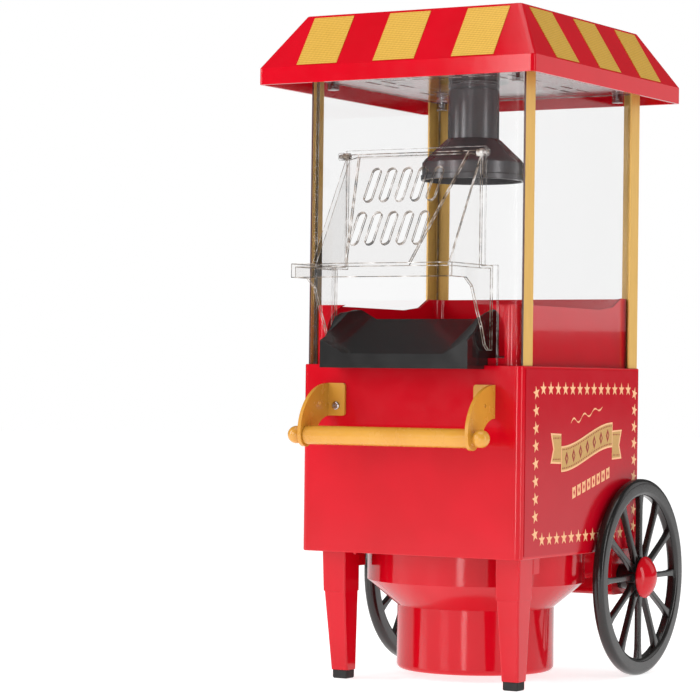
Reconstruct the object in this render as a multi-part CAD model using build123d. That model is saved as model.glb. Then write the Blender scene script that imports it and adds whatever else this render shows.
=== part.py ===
from build123d import *
import os

# Hot-air popcorn maker in the shape of a carnival cart.
# Millimetres, +Z up, floor at z = 0, front towards -Y, x = 0 is the plane of symmetry.

# ---------------------------------------------------------------- driving dimensions
# Cart body: a red box, open above and below
BODY_HALF_X = 85.0
BODY_HALF_Y = 94.7
BODY_HEIGHT = 129.3
BODY_WALL = 2.5
BODY_CORNER = 5.0
BODY_EDGE = 0.8
LEDGE_DROP = 11.0
LEDGE_WIDTH = 6.0
NUB_X = 42.0
NUB_R = 1.05

# Window cabinet that stands in the top of the body
PANE = 2.0
PANE_GAP = 0.5
PANE_CORNER = 4.0
PANE_WRAP = 6.0
CABINET_REAR_INSET = 2.2
CABINET_RISE = 198.0
CEILING_PLATE = 2.5
CEILING_SCREW_INSET = 10.0
POST_WIDTH = 14.0
POST_SKIN = 1.5
POST_RETURN = 12.0
POST_SETBACK = 2.0

# Roof, lifted off to reach the kernel cup
ROOF_OVERHANG_X = 21.2
ROOF_OVERHANG_FRONT = 28.9
ROOF_OVERHANG_REAR = 16.9
FASCIA_DROP = 6.0
FASCIA_HEIGHT = 11.5
SLOPE_HEIGHT = 37.5
SLOPE_RUN_X = 22.7
SLOPE_RUN_Y = 25.4
ROOF_WALL = 2.5
ROOF_CORNER = 3.0
ROOF_EDGE = 1.5
ROOF_FOOT_R = 4.5
ROOF_FOOT_X = 60.0
ROOF_FOOT_Y = 68.0
STRIPE_WIDTH = 31.5
STRIPE_PITCH = 60.0
SIDE_STRIPE_WIDTH = 33.4
SIDE_STRIPE_PITCH = 66.6
STRIPE_SKIN = 0.5

# Hatch over the spout, hung from its top edge
HATCH_WALL = 2.0
HATCH_HINGE_RISE = 143.0
HATCH_HINGE_OUT = 2.4
HATCH_HALF_TOP = 53.0
HATCH_RIM_HALF = 61.5
HATCH_RIM_RISE = 67.0
HATCH_RIM_DEPTH = 9.5
HATCH_REACH = 55.3
HATCH_GAP = 0.6
FACET_TOP_HALF = 42.0
FACET_BOTTOM_HALF = 24.6
WING_BOTTOM_HALF = 52.4
CHEEK_HEEL = ((37.7, 0.0), (28.7, 5.5), (20.7, 21.5), (14.7, 31.5), (9.7, 44.0), (4.7, 47.5), (0.0, 47.5))
SLOT_COUNT = 5
SLOT_PITCH = 12.1
SLOT_WIDTH = 5.9
SLOT_ROWS = ((8.5, 35.5), (45.0, 71.0))
EYE_WIDTH = 4.5
LUG_WIDTH = 3.0
PIN_R = 1.25
PIN_CLEARANCE = 0.08

# Spout in front of the basin
SPOUT_HALF = 57.0
SPOUT_LIP_HALF = 38.5
SPOUT_REACH = 24.3
SPOUT_UNDERCUT = 2.5
SPOUT_LIP_RISE = 7.0
SPOUT_SIDE_RISE = 16.0
SPOUT_TOP_RISE = 38.0
SPOUT_TAIL = 15.4
SPOUT_WALL = 2.5
SPOUT_FLANK = 1.2
SPOUT_SHOULDER = ((8.0, 1.5), (18.0, 2.5), (25.0, 5.0), (31.0, 12.5), (38.0, 19.0))

# Basin that catches the popped corn
BASIN_WALL = 2.0
BASIN_CORNER = 8.0
BASIN_FLOOR_RISE = 3.0
BASIN_SIDE_RISE = 41.0
BASIN_REAR_RISE = 50.0
MOUTH_HALF = 69.0
MOUTH_SHOULDER = 20.0

# Machinery, on one upright axis
WORKS_Y = 5.0
DRUM_R = 55.5
DRUM_BOTTOM = 5.0
DRUM_UPPER_R = 77.0
DRUM_UPPER_HEIGHT = 21.7
DRUM_CONE_HEIGHT = 18.0
DRUM_WALL = 2.5
DRUM_FOOT_EDGE = 4.0
BOX_HALF_X = 70.0
BOX_GAP = 2.5
BOX_EDGE = 5.0
HOUSING_LUG_R = 4.5
MOTOR_R = 18.0
MOTOR_LENGTH = 42.0
MOTOR_DROP = 33.7
MOTOR_PLATE_R = 50.0
MOTOR_SCREW_CIRCLE = 45.0
SHAFT_R = 1.6
SHAFT_CLEARANCE = 0.05
FAN_R = 42.0
FAN_BLADES = 9
FAN_HEIGHT = 16.0
FAN_GAP = 4.0
DUCT_R = 49.0
DUCT_WALL = 1.0
CHAMBER_R = 38.0
CHAMBER_WALL = 1.2
CHAMBER_DEPTH = 74.0
CHAMBER_RIM = 7.0
LOUVRES = 16
GASKET = 1.2
HEATER_R = 36.0
HEATER_MARGIN = 6.0
MICA = 0.8
COIL_WIRE = 0.7
COIL_TURNS = 7
THERMOSTAT_RISE = 40.3
BOARD_X = (58.0, 80.0)
BOARD_Y = (-12.0, 30.0)
BOARD_LIFT = 6.0
BOARD_THICKNESS = 1.6
DIODE_R = 1.4

# Feed tube and hood that hang from the ceiling plate
TUBE_R = 18.1
TUBE_WALL = 1.6
TUBE_Y = -6.8
TUBE_DROP = 37.7
HOOD_R = 36.0
HOOD_CONE = 16.4
HOOD_SKIRT = 9.3
HOOD_LIP = 4.0
HOOD_LIP_STEP = 0.8
COLLAR_HEIGHT = 13.5
COLLAR_FLANGE = 7.0
CUP_DEPTH = 13.0
CUP_WALL = 1.5
CUP_RIM = 2.0

# Handle
BAR_R = 6.4
BAR_REACH = 30.3
BAR_RISE = 80.8
BAR_NECK_R = 4.0
EAR_INNER = 63.0
EAR_THICKNESS = 2.5
FLANGE_CORNER = 2.0
FLANGE_INNER = 50.0
FLANGE_TOP = 206.0
FLANGE_RISE = 93.9
FLANGE_THICKNESS = 2.0
EAR_HOLLOW_R = 20.6
KNOB_R = 6.0
KNOB_GAP = 5.5
SCREW_RISE = 100.8

# Front legs
LEG_WIDTH = 18.7
LEG_INSET_X = 7.7
LEG_INSET_Y = 15.7
LEG_DEPTH = 20.8
LEG_CORNER = 1.2
SLEEVE_DROP = 28.7
SLEEVE_STEP = 0.5
FOOT_HEIGHT = 6.0
FOOT_INSET = 0.7

# Wheels and axle
WHEEL_R = 70.0
AXLE_BELOW_BODY = 19.7
WHEEL_Y = 80.0
WHEEL_GAP = 2.5
RIM_RADIAL = 12.0
RIM_WIDTH = 8.5
RIM_ROUND = 3.4
SPOKES = 12
SPOKE_WIDTH = 4.8
HUB_R = 13.0
SLEEVE_R = 9.0
RECESS_R = 10.0
RECESS_DEPTH = 3.0
AXLE_R = 3.0
AXLE_CLEARANCE = 0.06
AXLE_PROUD = 1.5
CLIP_R = 6.0
CAP_R = 14.75
CAP_DOME = 7.0
CAP_EDGE = 1.5
BEAM_INSET = 7.0
BEAM_HALF_Y = 16.0
BEAM_BELOW_AXLE = 13.0
BEAM_EDGE = 5.0

# Rear fittings
SWITCH_X = -48.0
SWITCH_RISE = 92.3
SWITCH_WIDTH = 15.0
SWITCH_HEIGHT = 21.0
SWITCH_DEPTH = 20.0
SWITCH_BEZEL = 1.5
ROCKER_PIN_DEPTH = 3.0
GLAND_X = 48.0
GLAND_RISE = 18.3
GLAND_R = 5.0

# Shared allowances
SHEET = 2.0
SNUG = 0.3
SCREW_R = 1.4
SCREW_CLEARANCE = 0.1
SCREW_HEAD_R = 2.8
SCREW_HEAD = 1.8
LABEL_SKIN = 0.4
LABEL_MARGIN = 6.0
LABEL_MARGIN_Z = 2.0
BEYOND = 1.0

# ---------------------------------------------------------------- derived levels and faces
CORNERS = ((-1, -1), (1, -1), (-1, 1), (1, 1))
BODY_BOTTOM = WHEEL_R + AXLE_BELOW_BODY
THERMOSTAT_Z = BODY_BOTTOM + THERMOSTAT_RISE
BAR_Z = BODY_BOTTOM + BAR_RISE
SCREW_Z = BODY_BOTTOM + SCREW_RISE
SWITCH_Z = BODY_BOTTOM + SWITCH_RISE
GLAND_Z = BODY_BOTTOM + GLAND_RISE
FLANGE_BOTTOM = BODY_BOTTOM + FLANGE_RISE
BODY_TOP = BODY_BOTTOM + BODY_HEIGHT
BODY_FRONT = -BODY_HALF_Y
INNER_X = BODY_HALF_X - BODY_WALL
INNER_Y = BODY_HALF_Y - BODY_WALL
INNER_CORNER = BODY_CORNER - BODY_WALL
LEDGE_Z = BODY_TOP - LEDGE_DROP
PAN_TOP = BODY_BOTTOM + BODY_WALL

CEILING = BODY_TOP + CABINET_RISE
CEILING_TOP = CEILING + CEILING_PLATE
PANE_X = INNER_X - PANE_GAP
PANE_FRONT = -(INNER_Y - PANE_GAP)
PANE_REAR = INNER_Y - CABINET_REAR_INSET
PANE_BOTTOM = LEDGE_Z + BASIN_WALL
CEILING_SCREWS = [
    (side * (PANE_X - CEILING_SCREW_INSET), y)
    for side in (-1, 1)
    for y in (PANE_FRONT + CEILING_SCREW_INSET + 1.7, PANE_REAR - CEILING_SCREW_INSET - 2.0)
]

ROOF_HALF_X = BODY_HALF_X + ROOF_OVERHANG_X
ROOF_HALF_Y = BODY_HALF_Y + (ROOF_OVERHANG_FRONT + ROOF_OVERHANG_REAR) / 2
ROOF_CENTRE_Y = (ROOF_OVERHANG_REAR - ROOF_OVERHANG_FRONT) / 2
FASCIA_BOTTOM = CEILING - FASCIA_DROP
FASCIA_TOP = FASCIA_BOTTOM + FASCIA_HEIGHT
ROOF_TOP = FASCIA_TOP + SLOPE_HEIGHT
ROOF_FEET = [(sx * ROOF_FOOT_X, sy * ROOF_FOOT_Y + ROOF_CENTRE_Y) for sx, sy in CORNERS]

BASIN_X = PANE_X - PANE - SNUG
BASIN_FRONT = PANE_FRONT + PANE + SNUG
BASIN_REAR = PANE_REAR - PANE - SNUG
BASIN_FLOOR = BODY_TOP + BASIN_FLOOR_RISE
BASIN_SIDE_TOP = BODY_TOP + BASIN_SIDE_RISE
BASIN_REAR_TOP = BODY_TOP + BASIN_REAR_RISE
CHAMBER_SEAT = BASIN_FLOOR + BASIN_WALL
CHAMBER_BOTTOM = CHAMBER_SEAT - CHAMBER_DEPTH

HINGE_Y = PANE_FRONT - HATCH_HINGE_OUT
HINGE_Z = BODY_TOP + HATCH_HINGE_RISE
HATCH_BACK = PANE_FRONT - HATCH_GAP
HATCH_FRONT = BODY_FRONT - HATCH_REACH
HATCH_RIM_TOP = BODY_TOP + HATCH_RIM_RISE
HATCH_RIM_LOW = HATCH_RIM_TOP - HATCH_RIM_DEPTH
FACET_TOP = Vector(0, HATCH_BACK - 3.5, HINGE_Z - 2.0)
FACET_BOTTOM = Vector(0, HATCH_FRONT + 9.0, HATCH_RIM_TOP + 1.0)
WING_BOTTOM_Y = HATCH_FRONT + 13.2
FACET_DOWN = (FACET_BOTTOM - FACET_TOP).normalized()
FACET_OUT = Vector(0, FACET_DOWN.Z, -FACET_DOWN.Y)
OPENING_HALF = HATCH_HALF_TOP + 1.2
OPENING_LOW_HALF = HATCH_RIM_HALF + 2.7
OPENING_TOP = HINGE_Z + 4.0
EYE_X = (OPENING_HALF - EYE_WIDTH, OPENING_HALF)
LUG_X = (OPENING_HALF + 0.4, OPENING_HALF + 0.4 + LUG_WIDTH)

SPOUT_FRONT = BODY_FRONT - SPOUT_REACH
SPOUT_REAR = BASIN_FRONT + SPOUT_TAIL
SPOUT_BOTTOM = BODY_TOP - SPOUT_UNDERCUT
SPOUT_LIP = BODY_TOP + SPOUT_LIP_RISE
SPOUT_SIDE = BODY_TOP + SPOUT_SIDE_RISE
SPOUT_TOP = BODY_TOP + SPOUT_TOP_RISE

DRUM_UPPER_BOTTOM = BODY_BOTTOM - DRUM_UPPER_HEIGHT
DRUM_SHOULDER = DRUM_UPPER_BOTTOM - DRUM_CONE_HEIGHT
BOX_REAR = WHEEL_Y - BEAM_HALF_Y - BOX_GAP
HOUSING_SCREWS = [(sx * (BOX_HALF_X - HOUSING_LUG_R), WORKS_Y + y) for sx in (-1, 1) for y in (-27.0, 37.0)]
MOTOR_PLATE_Z = BODY_BOTTOM - MOTOR_DROP
MOTOR_BOTTOM = MOTOR_PLATE_Z - MOTOR_LENGTH
MOTOR_PLATE_SCREWS = [
    (MOTOR_SCREW_CIRCLE, WORKS_Y), (-MOTOR_SCREW_CIRCLE, WORKS_Y), (0.0, WORKS_Y - MOTOR_SCREW_CIRCLE),
]
FAN_Z = MOTOR_PLATE_Z + SHEET + FAN_GAP
HEATER_Z = (PAN_TOP + HEATER_MARGIN, CHAMBER_BOTTOM - 4)
BOARD_Z = PAN_TOP + BOARD_LIFT

TUBE_BORE = TUBE_R - TUBE_WALL
TUBE_BOTTOM = CEILING - TUBE_DROP
HOOD_SHOULDER = TUBE_BOTTOM - HOOD_CONE
HOOD_STEP = HOOD_SHOULDER - HOOD_SKIRT
HOOD_BOTTOM = HOOD_STEP - HOOD_LIP
COLLAR_TOP = CEILING_TOP + COLLAR_HEIGHT

BAR_Y = BODY_FRONT - BAR_REACH
EAR_OUTER = EAR_INNER + EAR_THICKNESS
KNOB_X = EAR_OUTER + KNOB_GAP
SCREW_X = (FLANGE_INNER + EAR_INNER) / 2

LEG_OUTER = BODY_HALF_X - LEG_INSET_X
LEG_INNER = LEG_OUTER - LEG_WIDTH
LEG_FRONT = BODY_FRONT + LEG_INSET_Y
LEG_REAR = LEG_FRONT + LEG_DEPTH
LEG_MIDDLE_X = (LEG_INNER + LEG_OUTER) / 2
LEG_MIDDLE_Y = (LEG_FRONT + LEG_REAR) / 2
SLEEVE_BOTTOM = BODY_BOTTOM - SLEEVE_DROP

WHEEL_OUTER_FACE = BODY_HALF_X + WHEEL_GAP + RIM_WIDTH
WHEEL_MIDDLE = WHEEL_OUTER_FACE - RIM_WIDTH / 2
AXLE_END = WHEEL_OUTER_FACE + AXLE_PROUD
BEAM_HALF_X = BODY_HALF_X - BEAM_INSET
ROCKER_PIN_Y = BODY_HALF_Y - ROCKER_PIN_DEPTH


# ---------------------------------------------------------------- helpers
def block(x, y, z):
    """Box between a low and a high limit on each axis."""
    centre = Pos(sum(x) / 2, sum(y) / 2, sum(z) / 2)
    return centre * Box(x[1] - x[0], y[1] - y[0], z[1] - z[0])


def around(middle, width):
    """Low and high limit of a width centred on a value."""
    return (middle - width / 2, middle + width / 2)


def post(radius, z, x=0.0, y=0.0):
    """Upright cylinder between two heights."""
    return Pos(x, y, sum(z) / 2) * Cylinder(radius, z[1] - z[0])


def bar(radius, x, y=0.0, z=0.0):
    """Cylinder along X."""
    return Pos(sum(x) / 2, y, z) * Rot(0, 90, 0) * Cylinder(radius, x[1] - x[0])


def stud(radius, y, x=0.0, z=0.0):
    """Cylinder along Y."""
    return Pos(x, sum(y) / 2, z) * Rot(90, 0, 0) * Cylinder(radius, y[1] - y[0])


def ring(outer, inner, z, x=0.0, y=0.0):
    """Upright tube between two heights."""
    return post(outer, z, x, y) - post(inner, z, x, y)


def tile(half_x, y, z, corner):
    """Slab with rounded upright edges, centred on x = 0."""
    plan = Pos(0, sum(y) / 2, z[0]) * RectangleRounded(2 * half_x, y[1] - y[0], corner)
    return extrude(plan, z[1] - z[0])


def side_profile(outline, x):
    """Closed outline of (y, z) points, extruded between two x values."""
    sketch = make_face(Polyline(*outline, close=True))
    return extrude(Plane.YZ.offset(x[0]) * sketch, x[1] - x[0])


def turned(outline, y=0.0):
    """Closed outline of (radius, z) points, turned about an upright axis."""
    sketch = make_face(Polyline(*outline, close=True))
    return Pos(0, y, 0) * revolve(Plane.XZ * sketch, Axis.Z)


def mirrored(shape):
    """The same shape on the left-hand side."""
    return mirror(shape, Plane.YZ)


def upright_edges(shape):
    return shape.edges().filter_by(Axis.Z)


def rim_edges(shape, z):
    """Edges that lie on the level z."""
    return shape.edges().filter_by_position(Axis.Z, z - 0.01, z + 0.01)


def screw_down(x, y, z, length):
    """Pan-head screw whose head sits on height z, with its shank below."""
    shank = post(SCREW_R, (z - length, z), x, y)
    head = post(SCREW_HEAD_R, (z, z + SCREW_HEAD), x, y)
    head = fillet(head.edges().sort_by(Axis.Z)[-1], SCREW_HEAD * 0.45)
    cross = block((x - 1.5, x + 1.5), (y - 0.3, y + 0.3), (z + 0.9, z + SCREW_HEAD))
    cross += block((x - 0.3, x + 0.3), (y - 1.5, y + 1.5), (z + 0.9, z + SCREW_HEAD))
    return shank + head - cross


def group(shapes):
    """Several separate solids kept in one node."""
    return Compound(children=[part for shape in shapes for part in shape.solids()])


# ---------------------------------------------------------------- cart body
def make_cart_body():
    """Red box with softened outer edges, and a ledge inside for the basin and the windows."""
    body = tile(BODY_HALF_X, (-BODY_HALF_Y, BODY_HALF_Y), (BODY_BOTTOM, BODY_TOP), BODY_CORNER)
    body = fillet(rim_edges(body, BODY_BOTTOM) + rim_edges(body, BODY_TOP), BODY_EDGE)
    body -= tile(INNER_X, (-INNER_Y, INNER_Y), (BODY_BOTTOM, BODY_TOP), INNER_CORNER)
    ledge_z = (LEDGE_Z - SHEET, LEDGE_Z)
    ledge = tile(INNER_X, (-INNER_Y, INNER_Y), ledge_z, INNER_CORNER)
    ledge_y = INNER_Y - LEDGE_WIDTH
    ledge -= tile(INNER_X - LEDGE_WIDTH, (-ledge_y, ledge_y), ledge_z, BODY_CORNER)
    body += ledge
    for side in (-1, 1):
        body += Pos(side * NUB_X, BODY_FRONT + BODY_WALL / 2, BODY_BOTTOM) * Sphere(NUB_R)
        hole_y = (BODY_FRONT - BEYOND, BODY_FRONT + BODY_WALL + BEYOND)
        body -= stud(SCREW_R + SCREW_CLEARANCE, hole_y, side * SCREW_X, SCREW_Z)
    switch_x = (SWITCH_X - SWITCH_WIDTH / 2, SWITCH_X + SWITCH_WIDTH / 2)
    switch_z = (SWITCH_Z - SWITCH_HEIGHT / 2, SWITCH_Z + SWITCH_HEIGHT / 2)
    rear_wall = (INNER_Y - BEYOND, BODY_HALF_Y + BEYOND)
    body -= block(switch_x, rear_wall, switch_z)
    body -= stud(GLAND_R, rear_wall, GLAND_X, GLAND_Z)
    return body


def make_base_pan():
    """Floor of the body, with a block behind each leg and a hole for the air duct."""
    pan_z = (BODY_BOTTOM, PAN_TOP)
    half_y = INNER_Y - SNUG
    pan = tile(INNER_X - SNUG, (-half_y, half_y), pan_z, INNER_CORNER)
    pan -= post(DUCT_R - DUCT_WALL - 1, pan_z, 0, WORKS_Y)
    for side in (-1, 1):
        x = sorted((side * (LEG_INNER + 2), side * (LEG_OUTER - 1)))
        socket = block(x, (LEG_REAR, LEG_REAR + 13), (BODY_BOTTOM - 11.5, BODY_BOTTOM))
        pan += fillet(upright_edges(socket), 2.5)
        pan -= post(SCREW_R + SCREW_CLEARANCE, pan_z, side * LEG_MIDDLE_X, LEG_MIDDLE_Y)
    for x, y in HOUSING_SCREWS:
        pan -= post(SCREW_R + SCREW_CLEARANCE, pan_z, x, y)
    return pan


def drum_solid(inset, z_low):
    """Outer form of the machinery housing, moved inwards by inset."""
    slope = 0.35 * inset
    lower = post(DRUM_R - inset, (z_low, DRUM_SHOULDER + slope), 0, WORKS_Y)
    cone = turned(((0, DRUM_SHOULDER + slope), (DRUM_R - inset, DRUM_SHOULDER + slope),
                   (DRUM_UPPER_R - inset, DRUM_UPPER_BOTTOM + slope), (0, DRUM_UPPER_BOTTOM + slope)),
                  WORKS_Y)
    upper = post(DRUM_UPPER_R - inset, (DRUM_UPPER_BOTTOM + slope, BODY_BOTTOM), 0, WORKS_Y)
    box_x = BOX_HALF_X - inset
    rear_z = (DRUM_UPPER_BOTTOM + slope + 1, BODY_BOTTOM)
    rear = block((-box_x, box_x), (WORKS_Y, BOX_REAR - inset), rear_z)
    rear = fillet(rear.edges().filter_by(Axis.Y).sort_by(Axis.Z)[:2], BOX_EDGE)
    whole = lower + cone + upper + rear
    reach = DRUM_UPPER_R + BEYOND
    return whole & block((-reach, reach), (WORKS_Y - reach, BOX_REAR - inset), (z_low, BODY_BOTTOM))


def make_motor_housing():
    """Drum under the body: a tub for the motor that widens into the fan casing."""
    outer = drum_solid(0, DRUM_BOTTOM)
    outer = fillet(outer.edges().filter_by(GeomType.CIRCLE).sort_by(Axis.Z)[0], DRUM_FOOT_EDGE)
    housing = outer - drum_solid(DRUM_WALL, DRUM_BOTTOM + DRUM_WALL)
    seat_z = (MOTOR_PLATE_Z - 4, MOTOR_PLATE_Z)
    for x, y in MOTOR_PLATE_SCREWS:
        boss = post(4.0, (DRUM_BOTTOM + DRUM_WALL, MOTOR_PLATE_Z), x, y)
        housing += boss - post(SCREW_R, seat_z, x, y)
    slot_z = (DRUM_BOTTOM - BEYOND, DRUM_BOTTOM + DRUM_WALL + BEYOND)
    for step in range(-3, 4):
        half = 34.0 - 3.0 * abs(step)
        slot = Pos(0, WORKS_Y + 9.0 * step, slot_z[0]) * SlotOverall(2 * half, 4.0)
        housing -= extrude(slot, slot_z[1] - slot_z[0])
    for x, y in HOUSING_SCREWS:
        lug = post(HOUSING_LUG_R, (BODY_BOTTOM - 9, BODY_BOTTOM), x, y) & drum_solid(0.5, DRUM_BOTTOM)
        housing += lug
        housing -= post(SCREW_R, (BODY_BOTTOM - 8, BODY_BOTTOM), x, y)
    return housing


# ---------------------------------------------------------------- window cabinet
def make_front_window():
    """Clear front wall, wrapped round both front corners, with a stepped opening."""
    wrap = PANE_FRONT + PANE_WRAP
    z = (PANE_BOTTOM, CEILING)
    pane = tile(PANE_X, (PANE_FRONT, wrap + 20), z, PANE_CORNER)
    pane -= tile(PANE_X - PANE, (PANE_FRONT + PANE, wrap + 30), z, PANE_CORNER - PANE)
    pane &= block((-PANE_X, PANE_X), (PANE_FRONT - BEYOND, wrap), z)
    deep = (PANE_FRONT - BEYOND, PANE_FRONT + PANE + BEYOND)
    pane -= block((-OPENING_LOW_HALF, OPENING_LOW_HALF), deep, (PANE_BOTTOM + 6, HATCH_RIM_TOP))
    pane -= block((-OPENING_HALF, OPENING_HALF), deep, (PANE_BOTTOM + 6, OPENING_TOP))
    for side in (-1, 1):
        x = sorted((side * LUG_X[0], side * LUG_X[1]))
        lug = bar(HATCH_HINGE_OUT + 0.4, x, HINGE_Y, HINGE_Z)
        pane += lug & block(x, (HINGE_Y - 5, PANE_FRONT + 0.5), (HINGE_Z - 5, HINGE_Z + 5))
        pane -= bar(PIN_R, x, HINGE_Y, HINGE_Z)
    return pane


def make_side_window():
    y = (PANE_FRONT + PANE_WRAP + SNUG, PANE_REAR)
    return block((PANE_X - PANE, PANE_X), y, (PANE_BOTTOM, CEILING))


def make_rear_window():
    half = PANE_X - PANE - 0.1
    return block((-half, half), (PANE_REAR - PANE, PANE_REAR), (PANE_BOTTOM, CEILING))


def make_front_post():
    """Flat gold strip over the seam between the front and side windows."""
    low = PANE_FRONT + POST_SETBACK
    return block((PANE_X, PANE_X + POST_SKIN), (low, low + POST_WIDTH), (BODY_TOP, CEILING))


def make_rear_post():
    """Gold angle strip round the rear corner."""
    outer_x = PANE_X + POST_SKIN
    outer_y = PANE_REAR + POST_SKIN
    angle = block((outer_x - POST_RETURN, outer_x), (outer_y - POST_WIDTH, outer_y), (BODY_TOP, CEILING))
    return angle - block((0, PANE_X), (0, PANE_REAR), (BODY_TOP, CEILING))


def make_ceiling_plate():
    """Clear lid of the cabinet, with steam slots and the feed-tube hole."""
    z = (CEILING, CEILING_TOP)
    plate = tile(PANE_X + POST_SKIN, (PANE_FRONT, PANE_REAR + POST_SKIN), z, 3.0)
    plate -= post(TUBE_BORE, z, 0, TUBE_Y)
    for side in (-1, 1):
        for row in (0, 1):
            for y in (-52.0, -26.0, 26.0, 52.0):
                slot = Pos(side * (44 + 12 * row), y, z[0]) * Rot(0, 0, 90) * SlotOverall(20.0, 3.0)
                plate -= extrude(slot, CEILING_PLATE)
        for x in (10.0, 34.0):
            for row in (0, 1):
                for end in (-1, 1):
                    slot = Pos(side * x, end * (62 + 9 * row), z[0]) * SlotOverall(18.0, 3.0)
                    plate -= extrude(slot, CEILING_PLATE)
    for x, y in CEILING_SCREWS:
        plate += post(4.0, (CEILING - 7, CEILING), x, y)
        plate -= post(SCREW_R, (CEILING - 6, CEILING_TOP), x, y)
    return plate


# ---------------------------------------------------------------- feed tube, hood and kernel cup
def make_feed_tube():
    """Grey tube that hangs under the ceiling plate."""
    return ring(TUBE_R, TUBE_BORE, (TUBE_BOTTOM, CEILING), 0, TUBE_Y)


def make_kettle_hood():
    """Spreading hood below the tube: a cone and a short stepped skirt."""
    lip_r = HOOD_R + HOOD_LIP_STEP
    bore = HOOD_R - TUBE_WALL
    outline = (
        (TUBE_BORE, TUBE_BOTTOM), (TUBE_R, TUBE_BOTTOM), (HOOD_R, HOOD_SHOULDER),
        (HOOD_R, HOOD_STEP), (lip_r, HOOD_STEP), (lip_r, HOOD_BOTTOM),
        (bore, HOOD_BOTTOM), (bore, HOOD_SHOULDER - 1), (TUBE_BORE, TUBE_BOTTOM - TUBE_WALL),
    )
    return turned(outline, TUBE_Y)


def make_feed_collar():
    """Neck on top of the ceiling plate that holds the kernel cup."""
    neck = ring(TUBE_R, TUBE_BORE, (CEILING_TOP, COLLAR_TOP), 0, TUBE_Y)
    return neck + ring(TUBE_R + COLLAR_FLANGE, TUBE_BORE, (CEILING_TOP, CEILING_TOP + SHEET), 0, TUBE_Y)


def make_kernel_cup():
    """Measuring cup, sitting upside up in the neck as its lid."""
    r = TUBE_BORE - SNUG
    rim = COLLAR_TOP + 0.2
    base = rim - CUP_DEPTH
    w = CUP_WALL
    outline = (
        (0, base), (r - 1, base), (r, base + 4), (r, rim),
        (TUBE_R + CUP_RIM, rim), (TUBE_R + CUP_RIM, rim + w), (r - w, rim + w), (r - w, base + 4),
        (r - 1 - w, base + w), (0, base + w),
    )
    return turned(outline, TUBE_Y)


# ---------------------------------------------------------------- roof
def roof_form(inset, bottom):
    """Hip roof with a flat top; a negative inset makes it larger."""
    drop = inset if inset > 0 else 0.0
    plans = []
    for half_x, half_y, z in (
        (ROOF_HALF_X, ROOF_HALF_Y, FASCIA_TOP - 0.4 * drop),
        (ROOF_HALF_X - SLOPE_RUN_X, ROOF_HALF_Y - SLOPE_RUN_Y, ROOF_TOP - drop),
    ):
        plan = RectangleRounded(2 * (half_x - inset), 2 * (half_y - inset), ROOF_CORNER)
        plans.append(Pos(0, ROOF_CENTRE_Y, z) * plan)
    slopes = loft(plans)
    fascia = Pos(0, ROOF_CENTRE_Y, bottom) * RectangleRounded(
        2 * (ROOF_HALF_X - inset), 2 * (ROOF_HALF_Y - inset), ROOF_CORNER)
    return slopes + extrude(fascia, FASCIA_TOP - 0.4 * drop - bottom)


def make_roof_shell():
    roof = roof_form(0, FASCIA_BOTTOM) - roof_form(ROOF_WALL, FASCIA_BOTTOM)
    for x, y in ROOF_FEET:
        roof += post(ROOF_FOOT_R, (CEILING_TOP + SNUG, ROOF_TOP - ROOF_WALL), x, y)
    return fillet(rim_edges(roof, ROOF_TOP), ROOF_EDGE)


def make_roof_stripes():
    """Three gold strips down each slope."""
    skin = roof_form(-STRIPE_SKIN, FASCIA_BOTTOM) - roof_form(0, FASCIA_BOTTOM)
    z = (FASCIA_TOP + 1.0, ROOF_TOP - 1.8)
    strips = []
    for step in (-1, 0, 1):
        x = around(step * STRIPE_PITCH, STRIPE_WIDTH)
        y = around(ROOF_CENTRE_Y + step * SIDE_STRIPE_PITCH, SIDE_STRIPE_WIDTH)
        for side in (-1, 1):
            end_y = sorted((ROOF_CENTRE_Y, ROOF_CENTRE_Y + side * (ROOF_HALF_Y + BEYOND)))
            strips.append(skin & block(x, end_y, z))
            end_x = sorted((0, side * (ROOF_HALF_X + BEYOND)))
            strips.append(skin & block(end_x, y, z))
    return group(strips)


# ---------------------------------------------------------------- hatch
def trimmed(shape, origin, normal):
    """Keep what lies behind a plane."""
    return split(shape, Plane(origin=origin, z_dir=normal), keep=Keep.BOTTOM)


def hatch_hood(inset):
    """Convex faceted hood: a sloping front and two angled wings."""
    half = HATCH_HALF_TOP - inset
    open_depth = 5.0 if inset else 0.0
    hood = block((-half, half), (HATCH_FRONT, HATCH_BACK + open_depth),
                 (HATCH_RIM_TOP - open_depth, HINGE_Z + 1.5 - inset))
    hood = trimmed(hood, FACET_TOP - FACET_OUT * inset, FACET_OUT)
    for side in (-1, 1):
        top = FACET_TOP + Vector(side * FACET_TOP_HALF, 0, 0)
        bottom = FACET_BOTTOM + Vector(side * FACET_BOTTOM_HALF, 0, 0)
        wing = Vector(side * WING_BOTTOM_HALF, WING_BOTTOM_Y, FACET_BOTTOM.Z)
        outward = (bottom - top).cross(wing - top).normalized() * side
        hood = trimmed(hood, top - outward * inset, outward)
    return hood


def hatch_cheek():
    """Side plate of the rim, drawn down to a rounded heel beside the spout."""
    outline = [(HATCH_BACK, HATCH_RIM_TOP), (HATCH_FRONT, HATCH_RIM_TOP), (HATCH_FRONT, HATCH_RIM_LOW)]
    outline += [(HATCH_BACK - reach, HATCH_RIM_LOW - drop) for reach, drop in CHEEK_HEEL]
    return side_profile(outline, (HATCH_RIM_HALF - HATCH_WALL, HATCH_RIM_HALF))


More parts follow.
